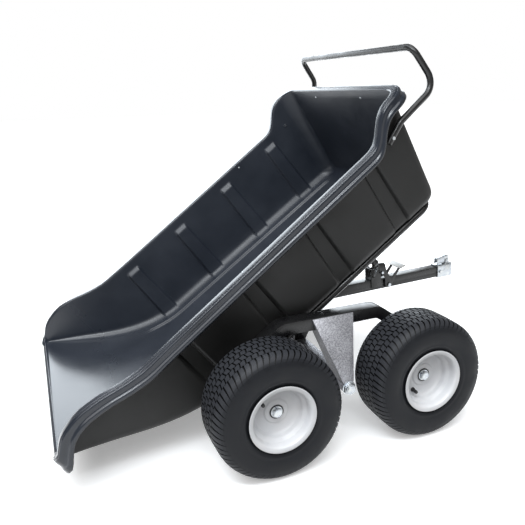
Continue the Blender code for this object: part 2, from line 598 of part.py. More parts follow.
def make_latch(bar, mats):
    """Foot latch: a bracket over the drawbar, two hook plates with a pedal, their bolts and the spring."""
    half = DRAWBAR_SQUARE / 2
    cheek_in = half + FIT
    cheek_out = cheek_in + LATCH_PLATE_T
    hook_in = cheek_out + FIT
    hook_out = hook_in + LATCH_PLATE_T
    s0, s1 = LATCH_CHEEK_S
    t0, t1 = LATCH_CHEEK_T
    seat = STRIKER_AT[1] - STRIKER_R - STRIKER_CLEAR
    gap = STRIKER_R + 0.003
    outline = [(s0, t0), (s1, t0), (s1, t1), (STRIKER_AT[0] + gap + 0.003, t1), (STRIKER_AT[0] + gap, seat),
               (STRIKER_AT[0] - gap, seat), (STRIKER_AT[0] - gap - 0.003, t1), (s0, t1)]
    bracket = finish_mesh("latch_bracket", prism(outline, "y", -cheek_out, cheek_out), mats["black_paint"], bar)
    middle = block((s0 + LATCH_PLATE_T, -cheek_in, -0.06), (s1 + 0.02, cheek_in, 0.12))
    combine(bracket, finish_mesh("latch_bracket_space", middle, mats["black_paint"], bar), "DIFFERENCE")
    under = block((s0 - 0.01, -cheek_in, -0.06), (s1, cheek_in, half + FIT))
    combine(bracket, finish_mesh("latch_bracket_seat", under, mats["black_paint"], bar), "DIFFERENCE")
    pin_out = hook_out + 0.011
    low_pin = round_bar(SPRING_PIN_R, -pin_out, -cheek_out + 0.002, SPRING_PIN_LOW)
    combine(bracket, finish_mesh("spring_pin_low", low_pin, mats["zinc"], bar), "UNION")

    nose = STRIKER_AT[1] + STRIKER_R + STRIKER_CLEAR
    mouth = STRIKER_AT[0] + STRIKER_R + 2 * STRIKER_CLEAR
    s, t = LATCH_PIVOT
    slope = math.radians(PEDAL_SLOPE)

    def seat_at(along):
        """Just under the pedal plate."""
        return PEDAL_AT[1] + (along - PEDAL_AT[0]) * math.tan(slope) - FIT

    back = STRIKER_AT[0] - STRIKER_R - HOOK_OVERHANG
    hook = [(s - 0.015, t - 0.012), (s + 0.013, t - 0.012), (s + 0.029, t + 0.025), (0.636, seat_at(0.636)),
            (0.618, seat_at(0.618)), (0.583, 0.030), (0.566, 0.034), (0.549, 0.066), (0.543, 0.098),
            (0.534, nose + 0.020), (0.508, nose + 0.020), (back, nose + 0.008), (back, nose), (mouth, nose),
            (mouth + 0.0005, 0.066), (0.530, 0.050), (0.541, 0.030), (0.541, t + 0.004)]
    lever = empty("latch_axis", (s, 0.0, t), bar)
    spacer = (s1 + FIT + HANDLE_BOLT_R, 0.058)
    local = [(a - s, b - t) for a, b in hook]
    for side, word in ((-1, "right"), (1, "left")):
        faces = sorted((side * hook_in, side * hook_out))
        plate = finish_mesh("latch_hook_" + word, prism(local, "y", *faces), mats["black_paint"], lever)
        for name, radius, at in (("pivot", around(LATCH_BOLT_R, RUN, HOLE_SIDES), (0.0, 0.0)),
                                 ("spacer", around(HANDLE_BOLT_R, FIT, HOLE_SIDES),
                                  (spacer[0] - s, spacer[1] - t))):
            hole = round_bar(radius, faces[0] - 0.01, faces[1] + 0.01, at, HOLE_SIDES)
            combine(plate, finish_mesh("hook_hole_%s_%s" % (name, word), hole, mats["black_paint"], lever),
                    "DIFFERENCE")
        if side < 0:
            at = (SPRING_PIN_HIGH[0] - s, SPRING_PIN_HIGH[1] - t)
            pin = round_bar(SPRING_PIN_R, -pin_out, -hook_out + 0.002, at)
            combine(plate, finish_mesh("spring_pin_high", pin, mats["zinc"], lever), "UNION")
    tread = block((0.0, -PEDAL_HALF, 0.0), (PEDAL_LONG, PEDAL_HALF, PEDAL_T))
    bmesh.ops.bevel(tread, geom=tread.edges[:], offset=0.0008, segments=1, affect="EDGES", profile=0.5, material=-1)
    pedal = finish_mesh("pedal_plate", tread, mats["pedal_grey"], lever)
    pedal.location = (PEDAL_AT[0] - s, 0.0, PEDAL_AT[1] - t)
    pedal.rotation_euler = (0.0, -slope, 0.0)
    bolt("latch_pivot_bolt", LATCH_BOLT_R, -hook_out - FIT, hook_out + FIT, LATCH_PIVOT, mats["zinc"], bar)
    bolt("hook_spacer_bolt", HANDLE_BOLT_R, -hook_out - FIT, hook_out + FIT,
         (spacer[0] - s, spacer[1] - t), mats["zinc"], lever)

    low = Vector((SPRING_PIN_LOW[0], -hook_out - 0.0065, SPRING_PIN_LOW[1]))
    high = Vector((SPRING_PIN_HIGH[0], -hook_out - 0.0065, SPRING_PIN_HIGH[1]))
    wire = coil_points(low, high)
    spring = finish_mesh("latch_spring", tube_mesh(wire, SPRING_WIRE_R, 6), mats["zinc"], bar, 60)
    return spring


def coil_points(low, high):
    """A coil between two pins, with a straight end at each."""
    axis = (high - low).normalized()
    across = Vector((0.0, 1.0, 0.0))
    other = axis.cross(across)
    stand = SPRING_PIN_R + FIT
    start = low + axis * (stand + 0.004)
    length = (high - low).length - 2 * (stand + 0.004)
    per_turn = 9
    count = SPRING_TURNS * per_turn
    points = [low + axis * stand, low + axis * (stand + 0.0014)]
    for k in range(count + 1):
        turn = math.tau * k / per_turn
        ease = min(1.0, k / 4, (count - k) / 4)
        reach = SPRING_COIL_R * ease
        points.append(start + axis * (length * k / count) + across * reach * math.cos(turn)
                      + other * reach * math.sin(turn))
    points += [high - axis * (stand + 0.0014), high - axis * stand]
    least = min((a - b).length for i, a in enumerate(points) for j, b in enumerate(points)
                if j - i >= per_turn - 1) - 2 * SPRING_WIRE_R
    print("least gap of the spring to itself, mm: %.2f" % (least * 1000))
    return points


def make_coupler(bar, cross_cut, bolt_s, mats):
    """Pressed ball coupler over the drawbar's end, with its hand lever."""
    nose = [(COUPLER_BALL_S + COUPLER_HALF * math.sin(a), COUPLER_HALF * math.cos(a))
            for a in (math.radians(15 * k) for k in range(0, 13))]
    outline = [(COUPLER_S, -COUPLER_HALF), (COUPLER_S, COUPLER_HALF)] + nose
    body = finish_mesh("coupler_body", prism(outline, "z", -COUPLER_HALF, COUPLER_HALF), mats["zinc"], bar, 30)
    half = DRAWBAR_SQUARE / 2 + FIT
    sleeve = block((COUPLER_S - 0.02, -half, -half), (DRAWBAR_END + FIT, half, half))
    combine(body, finish_mesh("coupler_sleeve", sleeve, mats["zinc"], bar), "DIFFERENCE")
    socket = bmesh.new()
    bmesh.ops.create_cone(socket, cap_ends=True, segments=24, radius1=COUPLER_BALL_R, radius2=COUPLER_BALL_R,
                          depth=0.06, matrix=Matrix.Translation((COUPLER_BALL_S, 0.0, -0.012)))
    combine(body, finish_mesh("coupler_socket", socket, mats["zinc"], bar, 30), "DIFFERENCE")
    combine(body, cross_cut, "DIFFERENCE")
    ear_in = LEVER_HALF + FIT
    pin_s, pin_t = LEVER_PIN
    for side, word in ((-1, "right"), (1, "left")):
        faces = sorted((side * ear_in, side * (ear_in + 0.004)))
        ear = prism([(pin_s - 0.012, COUPLER_HALF - 0.004), (pin_s + 0.012, COUPLER_HALF - 0.004),
                     (pin_s + 0.008, pin_t + 0.008), (pin_s - 0.008, pin_t + 0.008)], "y", *faces)
        combine(body, finish_mesh("coupler_ear_" + word, ear, mats["zinc"], bar), "UNION")
    pin_hole = round_bar(around(LEVER_PIN_R, FIT, HOLE_SIDES), -0.03, 0.03, LEVER_PIN, HOLE_SIDES)
    combine(body, finish_mesh("lever_pin_hole", pin_hole, mats["zinc"], bar), "DIFFERENCE")
    bolt("coupler_bolt", LATCH_BOLT_R, -COUPLER_HALF - FIT, COUPLER_HALF + FIT, (bolt_s, 0.0), mats["zinc"], bar)
    ear_out = ear_in + 0.004 + FIT
    bolt("coupler_lever_pin", LEVER_PIN_R, -ear_out, ear_out, LEVER_PIN, mats["zinc"], bar,
         head=1.5, head_t=0.002, nut_t=0.002)

    axis = empty("coupler_lever_axis", (pin_s, 0.0, pin_t), bar)
    outline = [(0.857, 0.036), (0.880, 0.036), (0.904, 0.038), (0.915, 0.0365), (0.923, 0.040), (0.9255, 0.047),
               (0.9255, 0.072), (0.919, 0.077), (0.872, 0.066), (0.860, 0.064)]
    lever = finish_mesh("coupler_lever", prism([(a - pin_s, b - pin_t) for a, b in outline], "y",
                                               -LEVER_HALF, LEVER_HALF), mats["zinc"], axis)
    hollow = [(0.840, 0.020), (0.940, 0.020), (0.940, 0.0455), (0.921, 0.058), (0.9205, 0.0705), (0.873, 0.0605),
              (0.840, 0.0590)]
    inner = LEVER_HALF - 0.003
    combine(lever, finish_mesh("coupler_lever_space",
                               prism([(a - pin_s, b - pin_t) for a, b in hollow], "y", -inner, inner),
                               mats["zinc"], axis), "DIFFERENCE")
    pivot_hole = round_bar(around(LEVER_PIN_R, RUN, HOLE_SIDES), -0.03, 0.03, sides=HOLE_SIDES)
    combine(lever, finish_mesh("lever_pivot_hole", pivot_hole, mats["zinc"], axis), "DIFFERENCE")


def ease(x):
    x = min(max(x, 0.0), 1.0)
    return x * x * (3 - 2 * x)


def rim_height(u):
    """Height of the rim's inner edge along the tub."""
    if u <= RIM_KEYS[0][0]:
        return RIM_KEYS[0][1]
    for (ua, wa), (ub, wb) in zip(RIM_KEYS, RIM_KEYS[1:]):
        if u <= ub:
            return wa + (wb - wa) * (u - ua) / (ub - ua)
    return RIM_KEYS[-1][1]


def front_wall(w):
    """Inside of the front wall at a height."""
    return TUB_FRONT_LOW + TUB_FRONT_LEAN * (w - FLOOR_W - FLOOR_FILLET)


def floor_height(u):
    """Floor, with its ramp up to the rear lip and the front wall as its steep end."""
    if u < RAMP_START:
        curved = max(u, RAMP_STRAIGHT)
        rise = RAMP_BEND * (RAMP_START - curved) ** 2
        slope = 2 * RAMP_BEND * (RAMP_START - RAMP_STRAIGHT)
        return FLOOR_W + rise + slope * (curved - u)
    return FLOOR_W


def corner_cut(past):
    """How far a wall draws in where the plan rounds a corner."""
    past = min(max(past, 0.0), TUB_CORNER_R)
    return TUB_CORNER_R - math.sqrt(TUB_CORNER_R ** 2 - past ** 2)


def wall_half(u, w):
    """Half width of the inside of the tub."""
    top = rim_height(u)
    share = min(max((w - FLOOR_W) / (top - FLOOR_W), 0.0), 1.0)
    half = WALL_LOW_H + (RIM_H - WALL_LOW_H) * share
    half += REAR_FLARE * ease((-0.50 - u) / 0.42) * ease((w - 0.02) / max(top, 0.05))
    return half - corner_cut(u - (front_wall(w) - TUB_CORNER_R))


def rib_inset(u):
    """Depth of the wall ribs at a station."""
    for centre in RIB_CENTRES:
        if abs(u - centre) <= RIB_HALF:
            return RIB_DEPTH
    return 0.0


def tub_stations():
    """Places along the tub, with the floor height at each."""
    stations = [-0.985, -0.978, -0.963, -0.940, -0.905, -0.860, -0.800, -0.740, -0.680, -0.620, -0.560]
    for centre in RIB_CENTRES:
        stations += [centre - RIB_HALF - RIB_DRAFT, centre - RIB_HALF, centre + RIB_HALF,
                     centre + RIB_HALF + RIB_DRAFT]
    stations += [0.505, 0.535, 0.565, 0.590]
    levels = [(u, floor_height(u)) for u in stations]
    levels[0] = (TUB_REAR, rim_height(TUB_REAR))
    for turn in (25, 50, 75):
        a = math.radians(turn)
        levels.append((front_wall(FLOOR_W + FLOOR_FILLET) - FLOOR_FILLET * (1 - math.sin(a)),
                       FLOOR_W + FLOOR_FILLET * (1 - math.cos(a))))
    top = RIM_KEYS[-1][1]
    for share in (0.12, 0.42, 0.72, 1.0):
        w = FLOOR_W + FLOOR_FILLET + share * (top - FLOOR_W - FLOOR_FILLET)
        levels.append((front_wall(w), w))
    return levels


def tub_section(u, low):
    """Half a cross-section as (h, w), from the rim down to the middle of the floor."""
    top = max(rim_height(u), low)
    tall = top - low
    rib = rib_inset(u)
    points = []
    for share, inset in ((1.0, 0.0), (RIB_TOP_SHARE + 0.06, 0.0), (RIB_TOP_SHARE, rib), (0.10, rib)):
        w = low + share * tall
        points.append((wall_half(u, w) - inset, w))
    fillet = min(FLOOR_FILLET, tall * 0.10 + 0.0001)
    corner = wall_half(u, low + fillet) - rib
    points.append((corner - 0.010 * min(1.0, tall / 0.3), low + 0.30 * fillet))
    points.append((corner - FLOOR_FILLET * min(1.0, tall / 0.3), low))
    points.append((0.0, low))
    return points


def make_tub_sheet():
    """The tub's inside as one open sheet, grown outward into the stepped rim."""
    bm = bmesh.new()
    rows = []
    for u, low in tub_stations():
        half = tub_section(u, low)
        full = [(h, w) for h, w in half] + [(-h, w) for h, w in reversed(half[:-1])]
        rows.append([bm.verts.new((u, h, w)) for h, w in full])
    for row, following in zip(rows, rows[1:]):
        for a, b, c, d in zip(row, row[1:], following[1:], following):
            bm.faces.new((a, d, c, b))
    bmesh.ops.remove_doubles(bm, verts=bm.verts, dist=TUB_MERGE)
    for out, up in RIM_STEPS:
        rim = [e for e in bm.edges if e.is_boundary]
        directions = outward_directions(rim)
        grown = bmesh.ops.extrude_edge_only(bm, edges=rim)["geom"]
        fresh = [v for v in grown if isinstance(v, bmesh.types.BMVert)]
        for vert in fresh:
            direction = directions[tuple(round(c, 6) for c in vert.co)]
            reach = SPOUT_REACH if vert.co.x < -0.95 else 1.0
            vert.co += Vector((direction.x * out * reach, direction.y * out, up))
    return bm


def outward_directions(rim):
    """Level outward step at each vertex of a closed rim loop, longer at a corner."""
    normals = {}
    for edge in rim:
        a, b = edge.verts
        along = b.co - a.co
        across = Vector((along.y, -along.x, 0.0)).normalized()
        middle = (a.co + b.co) / 2
        away = Vector((middle.x - 0.9 * min(max(middle.x, -0.5), 0.2), middle.y, 0.0))
        if across.dot(away) < 0:
            across = -across
        for vert in edge.verts:
            normals.setdefault(tuple(round(c, 6) for c in vert.co), []).append(across)
    steps = {}
    for key, pair in normals.items():
        step = sum(pair, Vector((0.0, 0.0, 0.0)))
        steps[key] = step * min(1.0 / (1.0 + pair[0].dot(pair[-1])), 1.3 / step.length)
    return steps


def make_tub(root, mats):
    """The tipping body: tub, U frame, hinge parts, latch striker and push handle."""
    axis = empty("tub_axis", (TILT_X, 0.0, TILT_Z), root, (0.0, -math.radians(TILT), 0.0))
    tub = finish_mesh("tub", make_tub_sheet(), mats["tub_plastic"], axis, 40)
    lowest = min(tub.data.polygons, key=lambda face: face.center.z)
    if lowest.normal.z < 0:
        tub.data.flip_normals()
    shell = tub.modifiers.new("wall", "SOLIDIFY")
    shell.thickness = TUB_WALL
    shell.offset = -1.0
    shell.use_even_offset = False
    cross = make_tub_frame(axis, mats)
    make_floor_bolts(axis, tub, cross, mats)
    make_handle(axis, tub, mats)
    return axis


def make_floor_bolts(axis, tub, cross, mats):
    """Two bolts down through the floor and the cross tube."""
    line = empty("floor_bolt_line", (CROSS_TUBE_U, 0.0, 0.0), axis, (-math.pi / 2, 0.0, 0.0))
    top = FLOOR_W + FIT
    low = TUB_FRAME_W - FRAME_TUBE_R - FIT
    for side, word in ((-1, "right"), (1, "left")):
        at = (0.0, side * FLOOR_BOLT_H)
        wide = around(FLOOR_BOLT_R, FIT, HOLE_SIDES)
        hole = finish_mesh("floor_hole_" + word, round_bar(wide, -top - 0.02, -low + 0.02, at, HOLE_SIDES),
                           mats["black_paint"], line)
        combine(tub, hole, "DIFFERENCE")
        combine(cross, hole, "DIFFERENCE")
        bolt("floor_bolt_" + word, FLOOR_BOLT_R, -top, -low, at, mats["zinc"], line, head=2.2, head_t=0.003)


def make_tub_frame(axis, mats):
    """The U frame under the floor with the cross tube, ears and striker."""
    level = TUB_FRAME_W
    corners = [(FRAME_REAR, -FRAME_RAIL_H, level), (FRAME_FRONT, -FRAME_RAIL_H, level),
               (FRAME_FRONT, FRAME_RAIL_H, level), (FRAME_REAR, FRAME_RAIL_H, level)]
    rail = pipe_mesh(bend_path(corners, FRAME_BEND_R, 5), FRAME_TUBE_R, FRAME_TUBE_WALL)
    finish_mesh("tub_frame", rail, mats["black_paint"], axis, 40)
    span = FRAME_RAIL_H - FRAME_TUBE_R - FIT
    cross = pipe_mesh([(CROSS_TUBE_U, -span, level), (CROSS_TUBE_U, span, level)], FRAME_TUBE_R,
                      FRAME_TUBE_WALL)
    cross_tube = finish_mesh("frame_cross_tube", cross, mats["black_paint"], axis, 40)
    ceiling = FLOOR_W - TUB_WALL - FIT
    ear_out = UPRIGHT_H - UPRIGHT_T - FIT
    outline = [(CROSS_TUBE_U - 0.019, ceiling), (0.016, ceiling), (0.019, 0.0), (0.013, -0.014),
               (0.0, -0.019), (-0.012, -0.015), (CROSS_TUBE_U - 0.004, -0.008), (CROSS_TUBE_U - 0.019, 0.002)]
    for side, word in ((-1, "right"), (1, "left")):
        faces = sorted((side * (ear_out - EAR_T), side * ear_out))
        ear = finish_mesh("hinge_ear_" + word, prism(outline, "y", *faces), mats["black_paint"], axis)
        for name, radius, at in (("bolt", around(TILT_BOLT_R, RUN, HOLE_SIDES), (0.0, 0.0)),
                                 ("tube", around(FRAME_TUBE_R, FIT, HOLE_SIDES), (CROSS_TUBE_U, level))):
            hole = round_bar(radius, faces[0] - 0.01, faces[1] + 0.01, at, HOLE_SIDES)
            combine(ear, finish_mesh("ear_hole_%s_%s" % (name, word), hole, mats["black_paint"], axis),
                    "DIFFERENCE")
    pitch = math.radians(DRAWBAR_PITCH)
    s, t = STRIKER_AT
    striker_u = s * math.cos(pitch) - t * math.sin(pitch) - TILT_X
    striker_w = DRAWBAR_Z + s * math.sin(pitch) + t * math.cos(pitch) - TILT_Z
    plate = block((striker_u - 0.018, -span, level - 0.003), (striker_u + 0.018, span, level + 0.003))
    striker = finish_mesh("latch_striker", plate, mats["black_paint"], axis)
    leg = 0.052
    loop = bend_path([(striker_u, -leg, level), (striker_u, -leg, striker_w), (striker_u, leg, striker_w),
                      (striker_u, leg, level)], 0.010, 3)
    rod = finish_mesh("striker_rod", tube_mesh(loop, STRIKER_R, 8), mats["black_paint"], axis, 40)
    combine(striker, rod, "UNION")
    return cross_tube


def make_handle(axis, tub, mats):
    """Bent tube handle round the front of the tub, one bolt to each side wall."""
    u, w = HANDLE_BOLT
    outside = wall_half(u - 0.024, w) + TUB_WALL
    h = outside + FIT + HANDLE_TUBE_R
    top_u, top_w = HANDLE_TOP
    half = [(u - 0.022, h, w - 0.010), (0.625, h + 0.002, w + 0.024),
            (HANDLE_ELBOW[0], RIM_H - 0.015, HANDLE_ELBOW[1]), (top_u, HANDLE_TOP_H + 0.012, top_w)]
    corners = half + [(a, -b, c) for a, b, c in reversed(half)]
    bent = pipe_mesh(bend_path(corners, HANDLE_BEND_R, 4), HANDLE_TUBE_R, HANDLE_TUBE_WALL)
    handle = finish_mesh("push_handle", bent, mats["black_paint"], axis, 40)
    for side, word in ((-1, "right"), (1, "left")):
        inner = wall_half(u, w)
        ends = sorted((side * (inner - 0.02), side * (h + 0.03)))
        wide = around(HANDLE_BOLT_R, FIT, HOLE_SIDES)
        hole = finish_mesh("handle_hole_" + word, round_bar(wide, *ends, HANDLE_BOLT, HOLE_SIDES),
                           mats["black_paint"], axis)
        combine(tub, hole, "DIFFERENCE")
        combine(handle, hole, "DIFFERENCE")
        grip = sorted((side * (inner - HANDLE_NUT_GAP), side * (h + HANDLE_TUBE_R + HANDLE_NUT_GAP)))
        bolt("handle_bolt_" + word, HANDLE_BOLT_R, grip[0], grip[1], HANDLE_BOLT, mats["zinc"], axis,
             head_t=0.004, nut_t=0.004)


def centre_on_origin(root):
    """Slide everything along X until the overall box is centred."""
    graph = bpy.context.evaluated_depsgraph_get()
    reach = []
    for obj in bpy.data.objects:
        if obj.type == "MESH" and not obj.hide_render:
            shape = obj.evaluated_get(graph)
            reach += [(obj.matrix_world @ vert.co).x for vert in shape.data.vertices]
    root.location.x -= (min(reach) + max(reach)) / 2


def build():
    clear_scene()
    mats = make_materials()
    root = empty("trailer", (0.0, 0.0, 0.0))
    make_axle(root, mats)
    make_uprights(root, mats)
    make_drawbar(root, mats)
    for side in (-1, 1):
        make_bogie(side, root, mats)
    make_tub(root, mats)
    centre_on_origin(root)


build()
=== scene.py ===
# %% [markdown]
# # A garden tractor trailer with a tipping tub
# A black plastic tub tips back over a steel chassis that walks on four fat turf tyres.
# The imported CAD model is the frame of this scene: it gives every body and every joint.
# The cells below lay finer pieces over it, give each surface its finish, and light it.
# Places come from the frame's boxes and joints, and the tub's sizes from its CAD solid.

import json
import math

import bmesh
import bpy
from mathutils import Matrix, Vector

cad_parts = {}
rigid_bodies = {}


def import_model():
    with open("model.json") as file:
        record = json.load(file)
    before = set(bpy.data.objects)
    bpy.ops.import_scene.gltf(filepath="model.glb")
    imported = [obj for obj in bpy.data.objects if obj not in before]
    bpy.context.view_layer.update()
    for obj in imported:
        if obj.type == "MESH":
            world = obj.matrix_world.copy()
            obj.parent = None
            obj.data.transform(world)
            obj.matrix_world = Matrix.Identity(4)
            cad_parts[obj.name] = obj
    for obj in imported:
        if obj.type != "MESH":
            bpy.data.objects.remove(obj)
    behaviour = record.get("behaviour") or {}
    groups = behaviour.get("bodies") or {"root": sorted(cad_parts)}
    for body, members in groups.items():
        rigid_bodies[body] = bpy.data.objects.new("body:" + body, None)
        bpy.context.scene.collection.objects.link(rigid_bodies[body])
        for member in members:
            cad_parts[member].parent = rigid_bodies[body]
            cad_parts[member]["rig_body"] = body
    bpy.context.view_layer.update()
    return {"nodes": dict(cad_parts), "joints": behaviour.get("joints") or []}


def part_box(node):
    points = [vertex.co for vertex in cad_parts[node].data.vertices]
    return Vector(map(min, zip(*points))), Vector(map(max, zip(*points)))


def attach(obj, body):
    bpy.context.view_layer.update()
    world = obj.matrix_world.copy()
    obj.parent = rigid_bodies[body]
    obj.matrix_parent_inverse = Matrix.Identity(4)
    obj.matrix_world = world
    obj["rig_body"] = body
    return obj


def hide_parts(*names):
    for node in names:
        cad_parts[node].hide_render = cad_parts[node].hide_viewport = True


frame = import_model()
joints = {joint["name"]: joint for joint in frame["joints"]}

# %% [markdown]
# ## The places that the rest is measured from
# The tub was drawn in its own level frame, with u along it, h across and w up, and then
# tipped about its hinge. One matrix turns those numbers into places in the scene.
# The wheels' middles come from the boxes of their tyres.

# %% Tub frame and wheel places
TILT = math.radians(35.3)  # how far the tub is tipped at rest
HINGE = Vector(joints["tub_tilt"]["pos_m"])
TUB = Matrix.Translation(HINGE) @ Matrix.Rotation(-TILT, 4, "Y")
SIDES = {"right": -1, "left": 1}  # the sign of y on each side
ENDS = ("front", "rear")


def middle(node):
    """Centre of a CAD node's box."""
    low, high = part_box(node)
    return (low + high) / 2


WHEELS = {(end, side): middle("tyre_%s_%s" % (end, side)) for end in ENDS for side in SIDES}
for key, place in WHEELS.items():
    print(key, [round(c, 4) for c in place])

# %% [markdown]
# ## Camera
# The photograph was taken from behind the right rear wheel, a little above the tub.
# The place, lens and slight roll were solved from the wheels' ellipses and the tub's rim.
# The lens is shifted, because the trailer sits left of the solved picture centre.

# %% Camera at the photograph's angle
PIVOT_X = joints["bogie_pivot_left"]["pos_m"][0]
CAMERA_AT = Vector((PIVOT_X - 0.9216, -2.4373, 1.2615))
AZIMUTH, ELEVATION, ROLL = (math.radians(a) for a in (-25.0023, 16.6023, -1.3144))
back = Vector((math.sin(AZIMUTH) * math.cos(ELEVATION), -math.cos(AZIMUTH) * math.cos(ELEVATION),
               math.sin(ELEVATION)))
right = Vector((0.0, 0.0, 1.0)).cross(back).normalized()
up = back.cross(right)
rolled_right = right * math.cos(ROLL) + up * math.sin(ROLL)
rolled_up = up * math.cos(ROLL) - right * math.sin(ROLL)
camera_data = bpy.data.cameras.new("camera")
camera_data.sensor_width = 36.0
camera_data.lens = 42.02
camera_data.shift_x = -0.1097
camera_data.shift_y = 0.0138
camera = bpy.data.objects.new("camera", camera_data)
turned = Matrix((rolled_right, rolled_up, back)).transposed().to_4x4()
camera.matrix_world = Matrix.Translation(CAMERA_AT) @ turned
bpy.context.scene.collection.objects.link(camera)
bpy.context.scene.camera = camera
print("camera at", tuple(round(c, 3) for c in CAMERA_AT))

# %% [markdown]
# ## Studio
# Product pictures of black plastic are lit by large soft lights, because black shows
# its form only by what it reflects. A soft sun makes the floor as white as the sky, and
# the floor glows a little, so that its shadows stay pale, but it throws no soft light up
# at the trailer. A wide panel beyond the trailer lights the spout and the top of the rim,
# a narrow one near the camera draws lines on ridges and tubes, and the trailer sees a
# dimmer sky than the camera does.


# %% Floor, lamps and world
def lamp(name, kind, place, target, power):
    """A lamp that looks at a point and that the camera doesn't see."""
    data = bpy.data.lights.new(name, kind)
    data.energy = power
    lamp_object = bpy.data.objects.new(name, data)
    aim = (Vector(target) - Vector(place)).to_track_quat("-Z", "Y")
    lamp_object.matrix_world = Matrix.Translation(place) @ aim.to_matrix().to_4x4()
    lamp_object.visible_camera = False
    bpy.context.scene.collection.objects.link(lamp_object)
    return data


def panel(name, place, target, size, power):
    """A soft rectangular lamp, slightly blue as the open sky is."""
    data = lamp(name, "AREA", place, target, power)
    data.color = (0.87, 0.94, 1.0)
    data.shape = "RECTANGLE"
    data.size, data.size_y = size


FLOOR_HALF = 30.0
DIM_SKY = 0.30
floor_bm = bmesh.new()
bmesh.ops.create_grid(floor_bm, x_segments=4, y_segments=4, size=FLOOR_HALF)
floor_mesh = bpy.data.meshes.new("floor")
floor_bm.to_mesh(floor_mesh)
floor_bm.free()
floor = bpy.data.objects.new("floor", floor_mesh)
bpy.context.scene.collection.objects.link(floor)
floor.visible_diffuse = False
floor_paint = bpy.data.materials.new("pale_floor")
floor_paint.use_nodes = True
floor_shader = floor_paint.node_tree.nodes["Principled BSDF"]
floor_shader.inputs["Base Color"].default_value = (0.93, 0.93, 0.93, 1.0)
floor_shader.inputs["Roughness"].default_value = 0.9
floor_shader.inputs["Specular IOR Level"].default_value = 0.0
floor_shader.inputs["Emission Color"].default_value = (1.0, 1.0, 1.0, 1.0)
floor_shader.inputs["Emission Strength"].default_value = 0.30
floor_mesh.materials.append(floor_paint)

world = bpy.data.worlds.new("studio")
world.use_nodes = True
sky = world.node_tree
seen = sky.nodes.new("ShaderNodeLightPath")
strength = sky.nodes.new("ShaderNodeMapRange")
strength.inputs["To Min"].default_value = DIM_SKY
strength.inputs["To Max"].default_value = 1.0
sky.links.new(seen.outputs["Is Camera Ray"], strength.inputs["Value"])
sky.links.new(strength.outputs["Result"], sky.nodes["Background"].inputs["Strength"])
sky.nodes["Background"].inputs["Color"].default_value = (1.0, 1.0, 1.0, 1.0)
bpy.context.scene.world = world
bpy.context.scene.view_settings.view_transform = "Standard"
sun = lamp("soft_sun", "SUN", (-1.2, -1.6, 4.0), (0.0, 0.0, 0.0), 2.75)
sun.angle = math.radians(70)
panel("beyond", (0.7, 3.4, 1.8), (0.1, 0.0, 0.7), (4.8, 2.4), 180)
panel("overhead", (-0.8, 0.6, 3.4), (0.0, 0.0, 0.4), (3.0, 0.9), 30)
panel("edge_light", (-1.6, -2.0, 3.5), (-0.2, -0.5, 0.7), (3.2, 0.35), 80)
print("studio: one floor, one soft sun and three panels")

# %% [markdown]
# ## Shared effects for the finishes
# Paint, plastic and rubber are never one flat colour. Two effects serve them all, so
# each is a node group built once: a slow mottle that shifts colour and gloss, and a
# fine grain whose height feeds a Bump node. Their outputs are values, and the shader
# itself stays in each material, where its fixed numbers are set on its own sockets.


# %% Node groups
def new_group(name, inputs, outputs):
    """An empty shader node group with named sockets."""
    group = bpy.data.node_groups.new(name, "ShaderNodeTree")
    for label, kind, value in inputs:
        socket = group.interface.new_socket(name=label, in_out="INPUT", socket_type=kind)
        if value is not None:
            socket.default_value = value
    for label, kind in outputs:
        group.interface.new_socket(name=label, in_out="OUTPUT", socket_type=kind)
    entry = group.nodes.new("NodeGroupInput")
    leave = group.nodes.new("NodeGroupOutput")
    return group, entry, leave


def noise(tree, detail, roughness=0.5):
    """A noise texture node."""
    node = tree.nodes.new("ShaderNodeTexNoise")
    node.inputs["Detail"].default_value = detail
    node.inputs["Roughness"].default_value = roughness
    return node


def ramp_between(tree, low, high):
    """A Map Range node that spreads a narrow band of values over 0 to 1."""
    node = tree.nodes.new("ShaderNodeMapRange")
    node.inputs["From Min"].default_value = low
    node.inputs["From Max"].default_value = high
    return node


FLOAT, COLOUR, VECTOR = "NodeSocketFloat", "NodeSocketColor", "NodeSocketVector"
mottle, entry, leave = new_group(
    "mottle",
    [("Vector", VECTOR, None), ("Patch Scale", FLOAT, 6.0), ("Colour A", COLOUR, None),
     ("Colour B", COLOUR, None), ("Gloss Low", FLOAT, 0.3), ("Gloss High", FLOAT, 0.5)],
    [("Colour", COLOUR), ("Roughness", FLOAT), ("Patches", FLOAT)])
patches = noise(mottle, 4.0, 0.6)
spread = ramp_between(mottle, 0.35, 0.65)
blend = mottle.nodes.new("ShaderNodeMix")
blend.data_type = "RGBA"
gloss = mottle.nodes.new("ShaderNodeMapRange")
mottle.links.new(entry.outputs["Vector"], patches.inputs["Vector"])
mottle.links.new(entry.outputs["Patch Scale"], patches.inputs["Scale"])
mottle.links.new(patches.outputs["Fac"], spread.inputs["Value"])
mottle.links.new(spread.outputs["Result"], blend.inputs["Factor"])
mottle.links.new(entry.outputs["Colour A"], blend.inputs[6])
mottle.links.new(entry.outputs["Colour B"], blend.inputs[7])
mottle.links.new(spread.outputs["Result"], gloss.inputs["Value"])
mottle.links.new(entry.outputs["Gloss Low"], gloss.inputs["To Min"])
mottle.links.new(entry.outputs["Gloss High"], gloss.inputs["To Max"])
mottle.links.new(blend.outputs[2], leave.inputs["Colour"])
mottle.links.new(gloss.outputs["Result"], leave.inputs["Roughness"])
mottle.links.new(spread.outputs["Result"], leave.inputs["Patches"])

